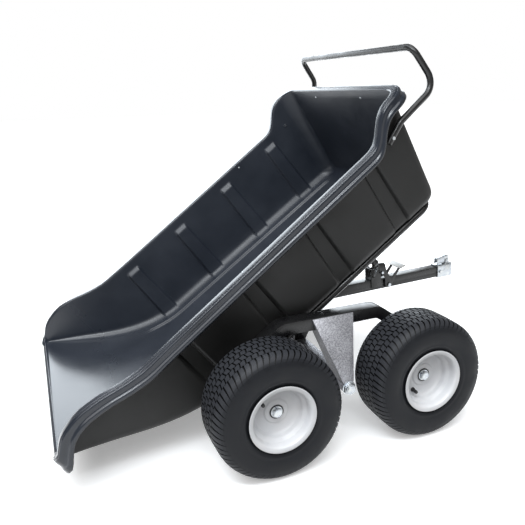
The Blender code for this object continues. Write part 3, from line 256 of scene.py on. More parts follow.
grain, entry, leave = new_group(
    "grain",
    [("Vector", VECTOR, None), ("Fine Scale", FLOAT, 400.0), ("Broad Scale", FLOAT, 40.0),
     ("Broad Share", FLOAT, 0.3)],
    [("Height", FLOAT)])
fine = noise(grain, 2.0)
broad = noise(grain, 1.0)
join = grain.nodes.new("ShaderNodeMix")
grain.links.new(entry.outputs["Vector"], fine.inputs["Vector"])
grain.links.new(entry.outputs["Vector"], broad.inputs["Vector"])
grain.links.new(entry.outputs["Fine Scale"], fine.inputs["Scale"])
grain.links.new(entry.outputs["Broad Scale"], broad.inputs["Scale"])
grain.links.new(entry.outputs["Broad Share"], join.inputs["Factor"])
grain.links.new(fine.outputs["Fac"], join.inputs["A"])
grain.links.new(broad.outputs["Fac"], join.inputs["B"])
grain.links.new(join.outputs["Result"], leave.inputs["Height"])
print("node groups:", mottle.name, grain.name)

# %% [markdown]
# ## Finishes
# Each finish has its own colours, patch size, gloss range and grain height. The helper
# wires the two groups to a Principled shader, and returns the parts that a special
# finish, such as hammered paint or worn tread, needs to add a layer of its own.

# %% Finish helper and the plain finishes
FINISHES = {}


def finish(slot, colour_a, colour_b, gloss_range, patch=6.0, fine_scale=400.0, broad_scale=40.0,
           broad_share=0.3, bump=0.2, depth=0.0004, metallic=0.0, specular=0.5):
    """A material with mottled colour, mottled gloss and a fine grain."""
    made = bpy.data.materials.new("finish_" + slot)
    made.use_nodes = True
    tree = made.node_tree
    shader = tree.nodes["Principled BSDF"]
    shader.inputs["Metallic"].default_value = metallic
    shader.inputs["Specular IOR Level"].default_value = specular
    place = tree.nodes.new("ShaderNodeTexCoord")
    colours = tree.nodes.new("ShaderNodeGroup")
    colours.node_tree = mottle
    colours.inputs["Patch Scale"].default_value = patch
    colours.inputs["Colour A"].default_value = (*colour_a, 1.0)
    colours.inputs["Colour B"].default_value = (*colour_b, 1.0)
    colours.inputs["Gloss Low"].default_value = gloss_range[0]
    colours.inputs["Gloss High"].default_value = gloss_range[1]
    skin = tree.nodes.new("ShaderNodeGroup")
    skin.node_tree = grain
    skin.inputs["Fine Scale"].default_value = fine_scale
    skin.inputs["Broad Scale"].default_value = broad_scale
    skin.inputs["Broad Share"].default_value = broad_share
    bumps = tree.nodes.new("ShaderNodeBump")
    bumps.inputs["Strength"].default_value = bump
    bumps.inputs["Distance"].default_value = depth
    tree.links.new(place.outputs["Object"], colours.inputs["Vector"])
    tree.links.new(place.outputs["Object"], skin.inputs["Vector"])
    tree.links.new(colours.outputs["Colour"], shader.inputs["Base Color"])
    tree.links.new(colours.outputs["Roughness"], shader.inputs["Roughness"])
    tree.links.new(skin.outputs["Height"], bumps.inputs["Height"])
    tree.links.new(bumps.outputs["Normal"], shader.inputs["Normal"])
    FINISHES[slot] = made
    return tree, place, colours, bumps


# The tub's outside is a darker copy of its plastic: a painted shade on the outer wall, with a duller, grained
# skin.
finish("tub_outside_shaded", (0.0060, 0.0060, 0.0058), (0.0090, 0.0090, 0.0086), (0.46, 0.58), patch=5.0,
       fine_scale=700.0, broad_scale=60.0, bump=0.35, depth=0.0003, specular=0.35)
finish("black_paint", (0.006, 0.006, 0.007), (0.012, 0.012, 0.012), (0.22, 0.36), patch=14.0,
       fine_scale=500.0, broad_scale=160.0, broad_share=0.6, bump=0.25, depth=0.0003)
finish("zinc", (0.40, 0.43, 0.47), (0.60, 0.62, 0.62), (0.24, 0.42), patch=60.0, bump=0.2,
       depth=0.0002, metallic=0.9)
finish("rim_white", (0.64, 0.65, 0.67), (0.72, 0.72, 0.73), (0.34, 0.46), patch=9.0,
       fine_scale=300.0, bump=0.12, depth=0.0002)
finish("valve_rubber", (0.008, 0.008, 0.009), (0.016, 0.016, 0.017), (0.45, 0.60), patch=60.0)
finish("pedal_grey", (0.36, 0.36, 0.36), (0.52, 0.52, 0.50), (0.35, 0.55), patch=45.0,
       fine_scale=350.0, bump=0.4, metallic=0.3)
print("finishes:", sorted(FINISHES))

# %% [markdown]
# ## Tub plastic
# The tub's plastic is painted lighter and slightly blue inside, a painted sheen, and a
# darker copy of it outside, a painted shade; the inside is smooth, and the outside grained
# and duller. Its rim and its spout were stretched most, so they are glossier. The tub's mesh
# carries a number called gloss, 0 on the walls and 1 on the rim, and the finish takes some
# of the roughness away where that number is high.

# %% Tub plastic
GLOSS_LEFT = 0.50  # share of the roughness that is left where gloss is 1
# The inside colour is lighter and bluer than the outside: a painted sheen over the plastic's charcoal.
tree, place, colours, bumps = finish(
    "tub_plastic", (0.013, 0.0165, 0.024), (0.020, 0.0245, 0.034), (0.36, 0.46), patch=4.0,
    fine_scale=700.0, broad_scale=60.0, bump=0.05, depth=0.0003)
polish = tree.nodes.new("ShaderNodeAttribute")
polish.attribute_name = "gloss"
share_left = ramp_between(tree, 0.0, 1.0)
share_left.inputs["To Min"].default_value = 1.0
share_left.inputs["To Max"].default_value = GLOSS_LEFT
smoother = tree.nodes.new("ShaderNodeMath")
smoother.operation = "MULTIPLY"
tree.links.new(polish.outputs["Fac"], share_left.inputs["Value"])
tree.links.new(share_left.outputs["Result"], smoother.inputs[0])
tree.links.new(colours.outputs["Roughness"], smoother.inputs[1])
tree.links.new(smoother.outputs["Value"], tree.nodes["Principled BSDF"].inputs["Roughness"])
print("finishes:", len(FINISHES))

# %% [markdown]
# ## Hammered paint
# The wheel brackets and the axle wear silver hammered paint: small round dimples with
# darker borders. Voronoi cells are dimples with borders, so they make both the height
# and a speckle in the colour, over the same mottle as the other finishes.

# %% Hammered silver
DIMPLES_PER_METRE = 210.0
tree, place, colours, bumps = finish(
    "hammered_silver", (0.17, 0.17, 0.185), (0.26, 0.26, 0.28), (0.34, 0.48), patch=18.0,
    fine_scale=500.0, metallic=0.55)
dimples = tree.nodes.new("ShaderNodeTexVoronoi")
dimples.feature = "SMOOTH_F1"
dimples.inputs["Scale"].default_value = DIMPLES_PER_METRE
dimples.inputs["Smoothness"].default_value = 0.6
speckle = ramp_between(tree, 0.15, 0.75)
shade = tree.nodes.new("ShaderNodeMix")
shade.data_type = "RGBA"
shade.inputs[7].default_value = (0.46, 0.46, 0.49, 1.0)
tree.links.new(place.outputs["Object"], dimples.inputs["Vector"])
tree.links.new(dimples.outputs["Distance"], speckle.inputs["Value"])
tree.links.new(speckle.outputs["Result"], shade.inputs["Factor"])
tree.links.new(colours.outputs["Colour"], shade.inputs[6])
tree.links.new(shade.outputs[2], tree.nodes["Principled BSDF"].inputs["Base Color"])
tree.links.new(dimples.outputs["Distance"], bumps.inputs["Height"])
bumps.inputs["Strength"].default_value = 0.5
bumps.inputs["Distance"].default_value = 0.0008
print("dimples about", round(1000 / DIMPLES_PER_METRE, 1), "mm across")

# %% [markdown]
# ## Tyre rubber
# New rubber is charcoal. The tops of the tread blocks are paler and rougher than the
# sidewall, and the grooves between them are painted nearly black: painted shade in the
# recesses. Each tyre's mesh carries a number called tread, 1 on the tops, 0.5 on the
# sidewall and 0 in the grooves, and the finish reads it to choose between the three colours.

# %% Tyre rubber
tree, place, colours, bumps = finish(
    "tyre_rubber", (0.0034, 0.0041, 0.0060), (0.0062, 0.0072, 0.0098), (0.46, 0.60), patch=22.0,
    fine_scale=600.0, broad_scale=120.0, bump=0.45, depth=0.0005, specular=0.25)
tread = tree.nodes.new("ShaderNodeAttribute")
tread.attribute_name = "tread"
out_of_groove = ramp_between(tree, 0.0, 0.5)
on_top = ramp_between(tree, 0.5, 1.0)
# Groove bottoms take a nearly black colour: painted shade in the recesses between the blocks.
groove = tree.nodes.new("ShaderNodeMix")
groove.data_type = "RGBA"
groove.inputs[6].default_value = (0.0010, 0.0010, 0.0012, 1.0)
top = tree.nodes.new("ShaderNodeMix")
top.data_type = "RGBA"
top.inputs[7].default_value = (0.024, 0.0255, 0.030, 1.0)
tree.links.new(tread.outputs["Fac"], out_of_groove.inputs["Value"])
tree.links.new(tread.outputs["Fac"], on_top.inputs["Value"])
tree.links.new(out_of_groove.outputs["Result"], groove.inputs["Factor"])
tree.links.new(on_top.outputs["Result"], top.inputs["Factor"])
tree.links.new(colours.outputs["Colour"], groove.inputs[7])
tree.links.new(groove.outputs[2], top.inputs[6])
tree.links.new(top.outputs[2], tree.nodes["Principled BSDF"].inputs["Base Color"])
print("finishes:", len(FINISHES))

# %% [markdown]
# ## Putting a finished mesh in the scene
# Every piece ends the same way: its mesh becomes an object at the origin, takes a
# finish, rides on a body and stands for the CAD nodes that it replaces. Faces that
# meet at a shallow angle are shaded smooth, and sharper edges stay crisp.


# %% Piece helper
def piece(name, bm, slot, body, nodes=(), sharp=35.0):
    """Turn a bmesh into a finished object that rides on a body."""
    mesh = bpy.data.meshes.new(name)
    for face in bm.faces:
        face.smooth = True
    for edge in bm.edges:
        if len(edge.link_faces) == 2 and edge.calc_face_angle(0.0) > math.radians(sharp):
            edge.smooth = False
    bm.to_mesh(mesh)
    bm.free()
    made = bpy.data.objects.new(name, mesh)
    bpy.context.scene.collection.objects.link(made)
    mesh.materials.append(FINISHES[slot])
    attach(made, body)
    if nodes:
        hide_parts(*nodes)
    return made


def body_of(node):
    """The body that a CAD node belongs to."""
    return frame["nodes"][node]["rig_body"]


# %% [markdown]
# ## Steel pieces with softened edges
# Bent sheet and square tube never end in a perfect corner: the small radius along each
# edge is what catches the light. The CAD solids have the right shape but hard edges, so
# each is copied, its loose triangles are merged into clean faces, and every sharp edge
# is bevelled by the radius that such steel has.


# %% Bevelled copies of the CAD steel
def bevelled(bm, edges, radius):
    """Round some edges of a bmesh in two steps."""
    bmesh.ops.bevel(bm, geom=edges, offset=radius, offset_type="OFFSET", segments=2, profile=0.5,
                    affect="EDGES", clamp_overlap=True, material=-1)


def softened(node, radius):
    """A copy of a CAD node whose sharp edges are rounded."""
    bm = bmesh.new()
    bm.from_mesh(frame["nodes"][node].data)
    bmesh.ops.remove_doubles(bm, verts=bm.verts, dist=0.00002)
    bmesh.ops.dissolve_limit(bm, angle_limit=math.radians(0.8), verts=bm.verts, edges=bm.edges)
    hard = [e for e in bm.edges if len(e.link_faces) == 2 and e.calc_face_angle(0.0) > math.radians(38)]
    bevelled(bm, hard, radius)
    slot = frame["nodes"][node].data.materials[0].name
    return piece(node + "_steel", bm, slot, body_of(node), [node])


EDGE_RADIUS = {"bogie_beam": 0.0035, "bogie_bracket": 0.0016, "drawbar": 0.0030, "main_axle": 0.0030,
               "frame_crossmember": 0.0020, "axle_upright": 0.0010, "latch_bracket": 0.0007,
               "latch_hook": 0.0008, "pedal_plate": 0.0006, "coupler_body": 0.0022,
               "coupler_lever": 0.0009, "hinge_ear": 0.0010}
for node in sorted(frame["nodes"]):
    for start, radius in EDGE_RADIUS.items():
        if node == start or node in (start + "_left", start + "_right"):
            made = softened(node, radius)
            print(made.name, len(made.data.polygons), "faces")

# %% [markdown]
# ## Bent tubes
# The push handle and the frame under the tub are one tube each, bent on a former. A
# curve with a round bevel is the natural way to draw a bent tube: its corners become
# arcs of the bending radius, and the curve is then made a mesh with capped ends.


# %% Tube helper, push handle and tub frame
def rounded(corners, radii, steps=10):
    """A polyline whose inner corners become arcs, each of its own radius."""
    points = [Vector(corners[0])]
    for before, corner, after, radius in zip(corners, corners[1:], corners[2:], radii):
        corner = Vector(corner)
        behind = (Vector(before) - corner).normalized()
        ahead = (Vector(after) - corner).normalized()
        half = behind.angle(ahead) / 2
        reach = radius / math.tan(half)
        centre = corner + (behind + ahead).normalized() * radius / math.sin(half)
        start = (corner + behind * reach - centre).normalized()
        end = (corner + ahead * reach - centre).normalized()
        points += [centre + start.slerp(end, k / steps).normalized() * radius for k in range(steps + 1)]
    points.append(Vector(corners[-1]))
    return points


def tube(name, points, radius, slot, node):
    """A round tube along points given in the scene's frame."""
    curve = bpy.data.curves.new(name + "_route", "CURVE")
    curve.dimensions = "3D"
    curve.bevel_depth = radius
    curve.bevel_resolution = 10
    curve.use_fill_caps = True
    spline = curve.splines.new("POLY")
    spline.points.add(len(points) - 1)
    for target, point in zip(spline.points, points):
        target.co = (*point, 1.0)
    route = bpy.data.objects.new(name + "_route", curve)
    bpy.context.scene.collection.objects.link(route)
    bpy.context.view_layer.update()
    mesh = bpy.data.meshes.new_from_object(route.evaluated_get(bpy.context.evaluated_depsgraph_get()))
    bm = bmesh.new()
    bm.from_mesh(mesh)
    bmesh.ops.remove_doubles(bm, verts=bm.verts, dist=0.00001)
    bmesh.ops.recalc_face_normals(bm, faces=bm.faces)
    bpy.data.objects.remove(route, do_unlink=True)
    bpy.data.curves.remove(curve)
    bpy.data.meshes.remove(mesh)
    return piece(name, bm, slot, body_of(node), [node])


HANDLE_HALF = [(0.543, 0.5164, 0.356), (0.625, 0.5184, 0.390), (0.826, 0.5035, 0.400),
               (0.8255, 0.487, 0.5635)]
HANDLE_BENDS = (0.052, 0.062, 0.040)
HANDLE_R, RAIL_R = 0.0125, 0.014
handle_corners = [Vector(c) for c in HANDLE_HALF]
handle_corners += [Vector((u, -h, w)) for u, h, w in reversed(HANDLE_HALF)]
handle_points = [TUB @ point for point in rounded(handle_corners, HANDLE_BENDS + HANDLE_BENDS[::-1])]
handle = tube("push_handle_tube", handle_points, HANDLE_R, "black_paint", "push_handle")

RAIL_H, RAIL_W, RAIL_REAR, RAIL_FRONT = 0.440, 0.0112, -0.360, 0.600
RAIL_BEND = 0.060
rail_corners = [(RAIL_REAR, -RAIL_H, RAIL_W), (RAIL_FRONT, -RAIL_H, RAIL_W),
                (RAIL_FRONT, RAIL_H, RAIL_W), (RAIL_REAR, RAIL_H, RAIL_W)]
rail_route = rounded([Vector(c) for c in rail_corners], (RAIL_BEND, RAIL_BEND), 12)
rail_points = [TUB @ point for point in rail_route]
rail = tube("tub_frame_tube", rail_points, RAIL_R, "black_paint", "tub_frame")

CROSS_U, CROSS_H = -0.045, 0.4257
cross_points = [TUB @ Vector((CROSS_U, h, RAIL_W)) for h in (-CROSS_H, 0.0, CROSS_H)]
cross = tube("frame_cross_tube_round", cross_points, RAIL_R, "black_paint", "frame_cross_tube")
print("tubes:", [len(t.data.polygons) for t in (handle, rail, cross)])

# %% [markdown]
# ## The tub's inside surface
# The tub is formed from one plastic sheet, so it is built as one sheet too. A grid is
# laid out with rows along the tub and columns from rim to rim, and each of its points
# is moved to where that row and column meet on the tub. The rules are those of the
# CAD solid: floor, ramp, leaning walls, rounded corners and wall ribs. The sheet has
# four ribs in each wall, and the solid lacks the rearmost.

# %% Rules of the tub's shape
FLOOR_W, FLOOR_FILLET, WALL_T = 0.0300, 0.032, 0.0045
TUB_REAR, FRONT_LOW, FRONT_LEAN, CORNER_R = -0.985, 0.636, 0.107, 0.070
RIM_KEYS = ((-0.985, 0.3165), (-0.955, 0.354), (-0.915, 0.380), (-0.840, 0.395), (-0.760, 0.383),
            (-0.680, 0.360), (-0.610, 0.348), (0.470, 0.379), (0.508, 0.397), (0.545, 0.445),
            (0.585, 0.476), (0.625, 0.483), (0.700, 0.483))
RIB_CENTRES = (-0.470, -0.168, 0.134, 0.436)
RIB_HALF, RIB_DRAFT, RIB_DEPTH, RIB_TOP = 0.030, 0.015, 0.014, 0.85
REAR_CORNER_R = 0.015
RAMP_START, RAMP_STRAIGHT, RAMP_SLOPE = -0.420, -0.800, 0.76


def ease(x):
    """A smooth step from 0 to 1."""
    x = min(max(x, 0.0), 1.0)
    return x * x * (3 - 2 * x)


def rim_height(u):
    """Height of the rim's inner edge, smoothed between its measured points."""
    total = 0.0
    for k in range(-3, 4):
        at = min(max(u + k * 0.007, RIM_KEYS[0][0]), RIM_KEYS[-1][0])
        for (ua, wa), (ub, wb) in zip(RIM_KEYS, RIM_KEYS[1:]):
            if at <= ub:
                total += wa + (wb - wa) * (at - ua) / (ub - ua)
                break
    return total / 7


def floor_height(u):
    """The flat floor and its ramp up to the rear lip."""
    if u >= RAMP_START:
        return FLOOR_W
    curved = max(u, RAMP_STRAIGHT)
    return FLOOR_W + (RAMP_START - curved) ** 2 + RAMP_SLOPE * (curved - u)


def front_wall(w):
    """Inside of the front wall at a height."""
    return FRONT_LOW + FRONT_LEAN * (w - FLOOR_W - FLOOR_FILLET)


def corner_cut(past, radius):
    """How far a wall draws in where the plan rounds a corner."""
    past = min(max(past, 0.0), radius)
    return radius - math.sqrt(radius ** 2 - past ** 2)


def wall_half(u, w):
    """Half width of the inside of the tub."""
    top = rim_height(u)
    share = min(max((w - FLOOR_W) / (top - FLOOR_W), 0.0), 1.0)
    half = 0.472 + 0.033 * share
    half += 0.025 * ease((-0.50 - u) / 0.42) * ease((w - 0.02) / max(top, 0.05))
    half -= corner_cut(u - (front_wall(w) - CORNER_R), CORNER_R)
    return half - corner_cut(TUB_REAR + REAR_CORNER_R - u, REAR_CORNER_R)


print("rim height at the hinge:", round(rim_height(0.0), 4))

# %% [markdown]
# ## Rows and columns of the sheet
# Rows crowd where the shape turns: at the rib edges, the lip and the foot of the front
# wall. Past the floor's end the rows climb the front wall. Columns run down a wall,
# round the fillet at its foot and over the floor, with a raised double bead near it.


# %% Rows, columns and the grid
def tub_rows():
    """(u, floor height) of each row, from the rear lip to the top of the front wall."""
    places = {TUB_REAR, -0.981, -0.976, -0.970, -0.957, -0.943, -0.926, -0.905, -0.880}
    places |= {round(-0.860 + 0.030 * k, 4) for k in range(49)}
    for centre in RIB_CENTRES:
        places = {u for u in places if abs(u - centre) > RIB_HALF + RIB_DRAFT + 0.008}
        for edge in (-1, 1):
            for k in range(11):
                places.add(round(centre + edge * (0.022 + 0.0024 * k), 5))
        places.add(centre)
    places |= {0.500, 0.515, 0.530, 0.545, 0.560, 0.575, 0.590}
    rows = [(u, floor_height(u)) for u in sorted(places) if u < 0.598]
    for k in range(1, 8):
        turn = math.radians(k * 90 / 8)
        rows.append((front_wall(FLOOR_W + FLOOR_FILLET) - FLOOR_FILLET * (1 - math.sin(turn)),
                     FLOOR_W + FLOOR_FILLET * (1 - math.cos(turn))))
    top = RIM_KEYS[-1][1]
    for k in range(13):
        w = FLOOR_W + FLOOR_FILLET + (top - FLOOR_W - FLOOR_FILLET) * (k / 12)
        rows.append((front_wall(w), w))
    return rows


def rib_depth(u, share):
    """Depth of a wall rib at a place along the wall and up it."""
    narrow = 1.0 + 0.28 * (share - 0.10)
    for centre in RIB_CENTRES:
        reach = abs(u - centre) * narrow
        side = ease((RIB_HALF + RIB_DRAFT - reach) / RIB_DRAFT)
        if side > 0.0:
            return RIB_DEPTH * side * ease((RIB_TOP + 0.045 - share) / 0.075)
    return 0.0


FLOOR_FLAT = 0.416  # half width of the floor inside its fillets
BEAD_LINES, BEAD_HALF, BEAD_HIGH = (0.4045, 0.3855), 0.0040, 0.0050
WALL_SHARES = (1.0, 0.975, 0.94, 0.915, 0.90, 0.885, 0.87, 0.855, 0.84, 0.825, 0.81, 0.795, 0.77, 0.70,
               0.60, 0.50, 0.40, 0.30, 0.22, 0.170)
FLOOR_HALVES = (0.424, 0.4150, 0.4080, 0.4060, 0.4030, 0.4010, 0.3940, 0.3890, 0.3870, 0.3840, 0.3820,
                0.3740, 0.34, 0.27, 0.18, 0.09, 0.0)


def bead(h, u):
    """Height of the double bead that runs along the floor beside each wall."""
    ends = ease((0.565 - u) / 0.02) * ease((u + 0.640) / 0.06)
    lines = max(ease((BEAD_HALF - abs(h - line)) / 0.003) for line in BEAD_LINES)
    return BEAD_HIGH * ends * lines


def tub_column(u, low):
    """Half a row as (h, w), from the rim down to the middle of the floor."""
    top = max(rim_height(u), low)
    tall = top - low
    points = []
    for share in WALL_SHARES:
        w = low + share * tall
        points.append((wall_half(u, w) - rib_depth(u, share), w))
    rib = rib_depth(u, 0.10)
    small = min(1.0, tall * 0.14 / FLOOR_FILLET)
    wide, high = (0.044 - rib) * small, (0.042 - 1.1 * rib) * small
    foot = wall_half(u, low + high) - rib
    for k in range(1, 9):
        turn = math.radians(90 * k / 8)
        points.append((foot - wide * (1 - math.cos(turn)), low + high * (1 - math.sin(turn))))
    edge = points[-1][0]
    keep = min(FLOOR_FLAT, edge - 0.006)
    for h in FLOOR_HALVES:
        outer = max(h - FLOOR_FLAT, 0.0) / 0.012
        inside = min(h, FLOOR_FLAT) * keep / FLOOR_FLAT + outer * (edge - keep)
        points.append((inside, low + bead(inside, u)))
    return points


rows = tub_rows()
half_columns = len(tub_column(*rows[0]))
columns = 2 * half_columns - 1
sheet = bmesh.new()
bmesh.ops.create_grid(sheet, x_segments=len(rows) - 1, y_segments=columns - 1, size=1.0)
grid = sorted(sheet.verts, key=lambda v: (round(v.co.x, 6), round(v.co.y, 6)))
for i, (u, low) in enumerate(rows):
    half = tub_column(u, low)
    for j in range(columns):
        side = 1 if j >= half_columns - 1 else -1
        h, w = half[half_columns - 1 - abs(j - half_columns + 1)]
        grid[i * columns + j].co = (u, side * h, w)
bmesh.ops.remove_doubles(sheet, verts=sheet.verts, dist=0.0012)
lip_corners = [v for v in sheet.verts if v.co.x < -0.9805 and abs(v.co.y) > 0.46]
bmesh.ops.remove_doubles(sheet, verts=lip_corners, dist=0.0045)
print("sheet:", len(rows), "rows,", columns, "columns,", len(sheet.faces), "faces")

# %% [markdown]
# ## The rim
# The rim is a broad flange with a groove and a raised ridge at its outer side, where it
# turns down into a hollow skirt with a rolled lower edge. It is grown from
# the sheet's open edge: the edge is extruded by one step after another, each step going
# outward and up by the amounts in a list. Over the rear spout the flange is narrower,
# and the skirt hangs down further.

# %% Grow the rim
RIM_STEPS = ((0.0020, 0.0030), (0.0028, 0.0018), (0.0014, 0.0002), (0.0100, 0.0000),
             (0.0096, 0.0000), (0.0014, -0.0002), (0.0014, -0.0018), (0.0004, -0.0020),
             (0.0010, -0.0010), (0.0026, 0.0010), (0.0026, -0.0004), (0.0020, -0.0020),
             (0.0010, -0.0034), (0.0002, -0.0052), (-0.0006, -0.0050), (0.0000, -0.0050),
             (0.0014, -0.0030), (0.0026, -0.0022), (0.0022, -0.0022), (0.0010, -0.0030),
             (0.0000, -0.0052), (0.0000, -0.0048))
SPOUT_START, SPOUT_REACH = -0.95, 0.50  # behind this u, the rim reaches back by this share
DROP_START, DROP_RUN, LIP_DROP = -0.88, 0.08, 0.60  # where the skirt grows deeper, and by how much
SKIRT_RISE = -0.0025  # steps that fall by more than this belong to the skirt
LONGEST_STEP = 1.15  # most that a step grows where the edge turns


def outward(rim):
    """Level outward step at each vertex of the open edge, longer where the edge turns."""
    normals = {}
    for edge in rim:
        a, b = edge.verts
        along = b.co - a.co
        across = Vector((along.y, -along.x, 0.0)).normalized()
        centre = (a.co + b.co) / 2
        away = Vector((centre.x - 0.9 * min(max(centre.x, -0.5), 0.2), centre.y, 0.0))
        if across.dot(away) < 0:
            across = -across
        for vert in edge.verts:
            normals.setdefault(tuple(round(c, 6) for c in vert.co), []).append(across)
    steps = {}
    for key, pair in normals.items():
        step = sum(pair, Vector((0.0, 0.0, 0.0)))
        steps[key] = step * min(1.0 / (1.0 + pair[0].dot(pair[-1])), LONGEST_STEP / step.length)
    return steps


gloss = sheet.faces.layers.float.new("gloss")
for face in sheet.faces:
    face[gloss] = ease((-0.60 - face.calc_center_median().x) / 0.30)
for out, rise in RIM_STEPS:
    rim = [e for e in sheet.edges if e.is_boundary]
    directions = outward(rim)
    grown = bmesh.ops.extrude_edge_only(sheet, edges=rim)["geom"]
    for vert in (v for v in grown if isinstance(v, bmesh.types.BMVert)):
        direction = directions[tuple(round(c, 6) for c in vert.co)]
        reach = SPOUT_REACH if vert.co.x < SPOUT_START else 1.0
        drop = 1.0 + LIP_DROP * ease((DROP_START - vert.co.x) / DROP_RUN) if rise < SKIRT_RISE else 1.0
        vert.co += Vector((direction.x * out * reach, direction.y * out, rise * drop))
    for face in (f for f in grown if isinstance(f, bmesh.types.BMFace)):
        face[gloss] = 1.0
print("rim width:", round(sum(step[0] for step in RIM_STEPS), 4), "m")

# %% [markdown]
# ## Wall thickness
# The sheet becomes a plastic wall when a Solidify modifier gives it its thickness on
# the outer side, so the ribs that stand inside show as channels outside. The modifier
# also gives the new outer faces the next material, the duller outside finish, whose
# darker colour is a painted shade.

# %% Place the tub and thicken it
sheet.faces.ensure_lookup_table()
bmesh.ops.recalc_face_normals(sheet, faces=sheet.faces)
lowest = min(sheet.faces, key=lambda face: face.calc_center_median().z)
if lowest.normal.z < 0:
    bmesh.ops.reverse_faces(sheet, faces=sheet.faces)
bmesh.ops.transform(sheet, matrix=TUB, verts=sheet.verts)
tub = piece("tub_shell", sheet, "tub_plastic", "tub", ["tub"], sharp=85.0)
wall = tub.modifiers.new("wall", "SOLIDIFY")
wall.thickness = WALL_T
wall.offset = -1.0
wall.use_even_offset = False
# The outer faces take the darker finish, a painted shade.
tub.data.materials.append(FINISHES["tub_outside_shaded"])
wall.material_offset = 1
print("tub:", len(tub.data.polygons), "faces before its thickness")

# %% [markdown]
# ## Turned pieces
# Tyres, rims, valves and nuts are all turned about an axis. A profile is drawn as a
# chain of edges and spun a full circle about it. The full spin merges its last ring
# with its first, and the normals are then turned outwards.


# %% Spin helper
def spun(profile, centre, steps, closed=True):
    """A surface turned about the line through centre along Y; profile is (radius, y)."""
    bm = bmesh.new()
    ring = [bm.verts.new(centre + Vector((radius, y, 0.0))) for radius, y in profile]
    edges = [bm.edges.new(pair) for pair in zip(ring, ring[1:])]
    if closed:
        edges.append(bm.edges.new((ring[-1], ring[0])))
    bmesh.ops.spin(bm, geom=ring + edges, cent=centre, axis=(0.0, 1.0, 0.0), angle=math.tau,
                   steps=steps, use_merge=True, use_duplicate=False)
    bmesh.ops.remove_doubles(bm, verts=bm.verts, dist=0.000005)
    bmesh.ops.recalc_face_normals(bm, faces=bm.faces)
    return bm


def absorb(bm, other):
    """Add another bmesh to this one."""
    scratch = bpy.data.meshes.new("scratch")
    other.to_mesh(scratch)
    other.free()
    bm.from_mesh(scratch)
    bpy.data.meshes.remove(scratch)


# %% [markdown]
# ## Tyres with a turf tread
# A turf tyre has rows of small blocks, each row half a block out of step with the next,
# and long lugs that wrap over the shoulder and fade into the sidewall. One pitch of the
# tread is modelled, a few blocks and two lugs, and copied round the tyre by a spin that
# keeps its copies apart. The carcass under them sits at the depth of the grooves.

# %% Tread measures
PITCHES = 64
PITCH = math.tau / PITCHES
ROWS = (-0.0435, -0.0145, 0.0145, 0.0435)
BLOCK_HALF = 0.0127
BLOCK_SHARE, BLOCK_SKEW, BLOCK_STEP = 0.385, 0.10, 0.0016
BLOCK_DEPTH, LUG_DEPTH, LUG_SWEEP = 0.0064, 0.0058, 0.9
CARCASS = ((0.0, 0.2222), (0.046, 0.2220), (0.058, 0.2216), (0.0690, 0.2207), (0.0783, 0.2180),
           (0.0862, 0.2142), (0.0934, 0.2086), (0.0989, 0.2022), (0.1030, 0.1940), (0.1052, 0.1820),
           (0.1062, 0.1680), (0.1060, 0.1560), (0.1048, 0.1480), (0.1030, 0.1400), (0.1036, 0.1375),
           (0.1030, 0.1350), (0.1006, 0.1300), (0.0975, 0.1240), (0.0940, 0.1200), (0.0930, 0.1100),
           (0.0890, 0.1040))
LUG = ((0.0592, 0.2276, 0.0), (0.0700, 0.2266, 0.08), (0.0805, 0.2232, 0.22), (0.0890, 0.2180, 0.42),
       (0.0955, 0.2110, 0.66), (0.1000, 0.2030, 0.88), (0.1018, 0.1962, 1.0))


def tread_radius(y):
    """Radius of the tread's top at a distance from the tyre's middle."""
    return 0.2286 - 0.0012 * (y / 0.055) ** 2


def on_tyre(radius, y, angle):
    """A point on the tyre, measured from its middle."""
    return Vector((radius * math.cos(angle), y, radius * math.sin(angle)))


# %% One pitch of the tread
def raised_strip(bm, outline_rows, depth):
    """A closed block: rows of top points, with a skirt that goes down by depth."""
    top = [[bm.verts.new(point) for point in row] for row in outline_rows]
    faces = []
    for row, following in zip(top, top[1:]):
        faces += [bm.faces.new(quad) for quad in zip(row, row[1:], following[1:], following)]
    edge = [e for face in faces for e in face.edges if e.is_boundary]
    skirt = bmesh.ops.extrude_edge_only(bm, edges=list(dict.fromkeys(edge)))["geom"]
    for vert in (v for v in skirt if isinstance(v, bmesh.types.BMVert)):
        inward = Vector((vert.co.x, 0.0, vert.co.z)).normalized() * depth
        lean = math.copysign(depth * 0.35, vert.co.y) if abs(vert.co.y) > 0.06 else 0.0
        vert.co -= inward + Vector((0.0, lean, 0.0))
    return faces


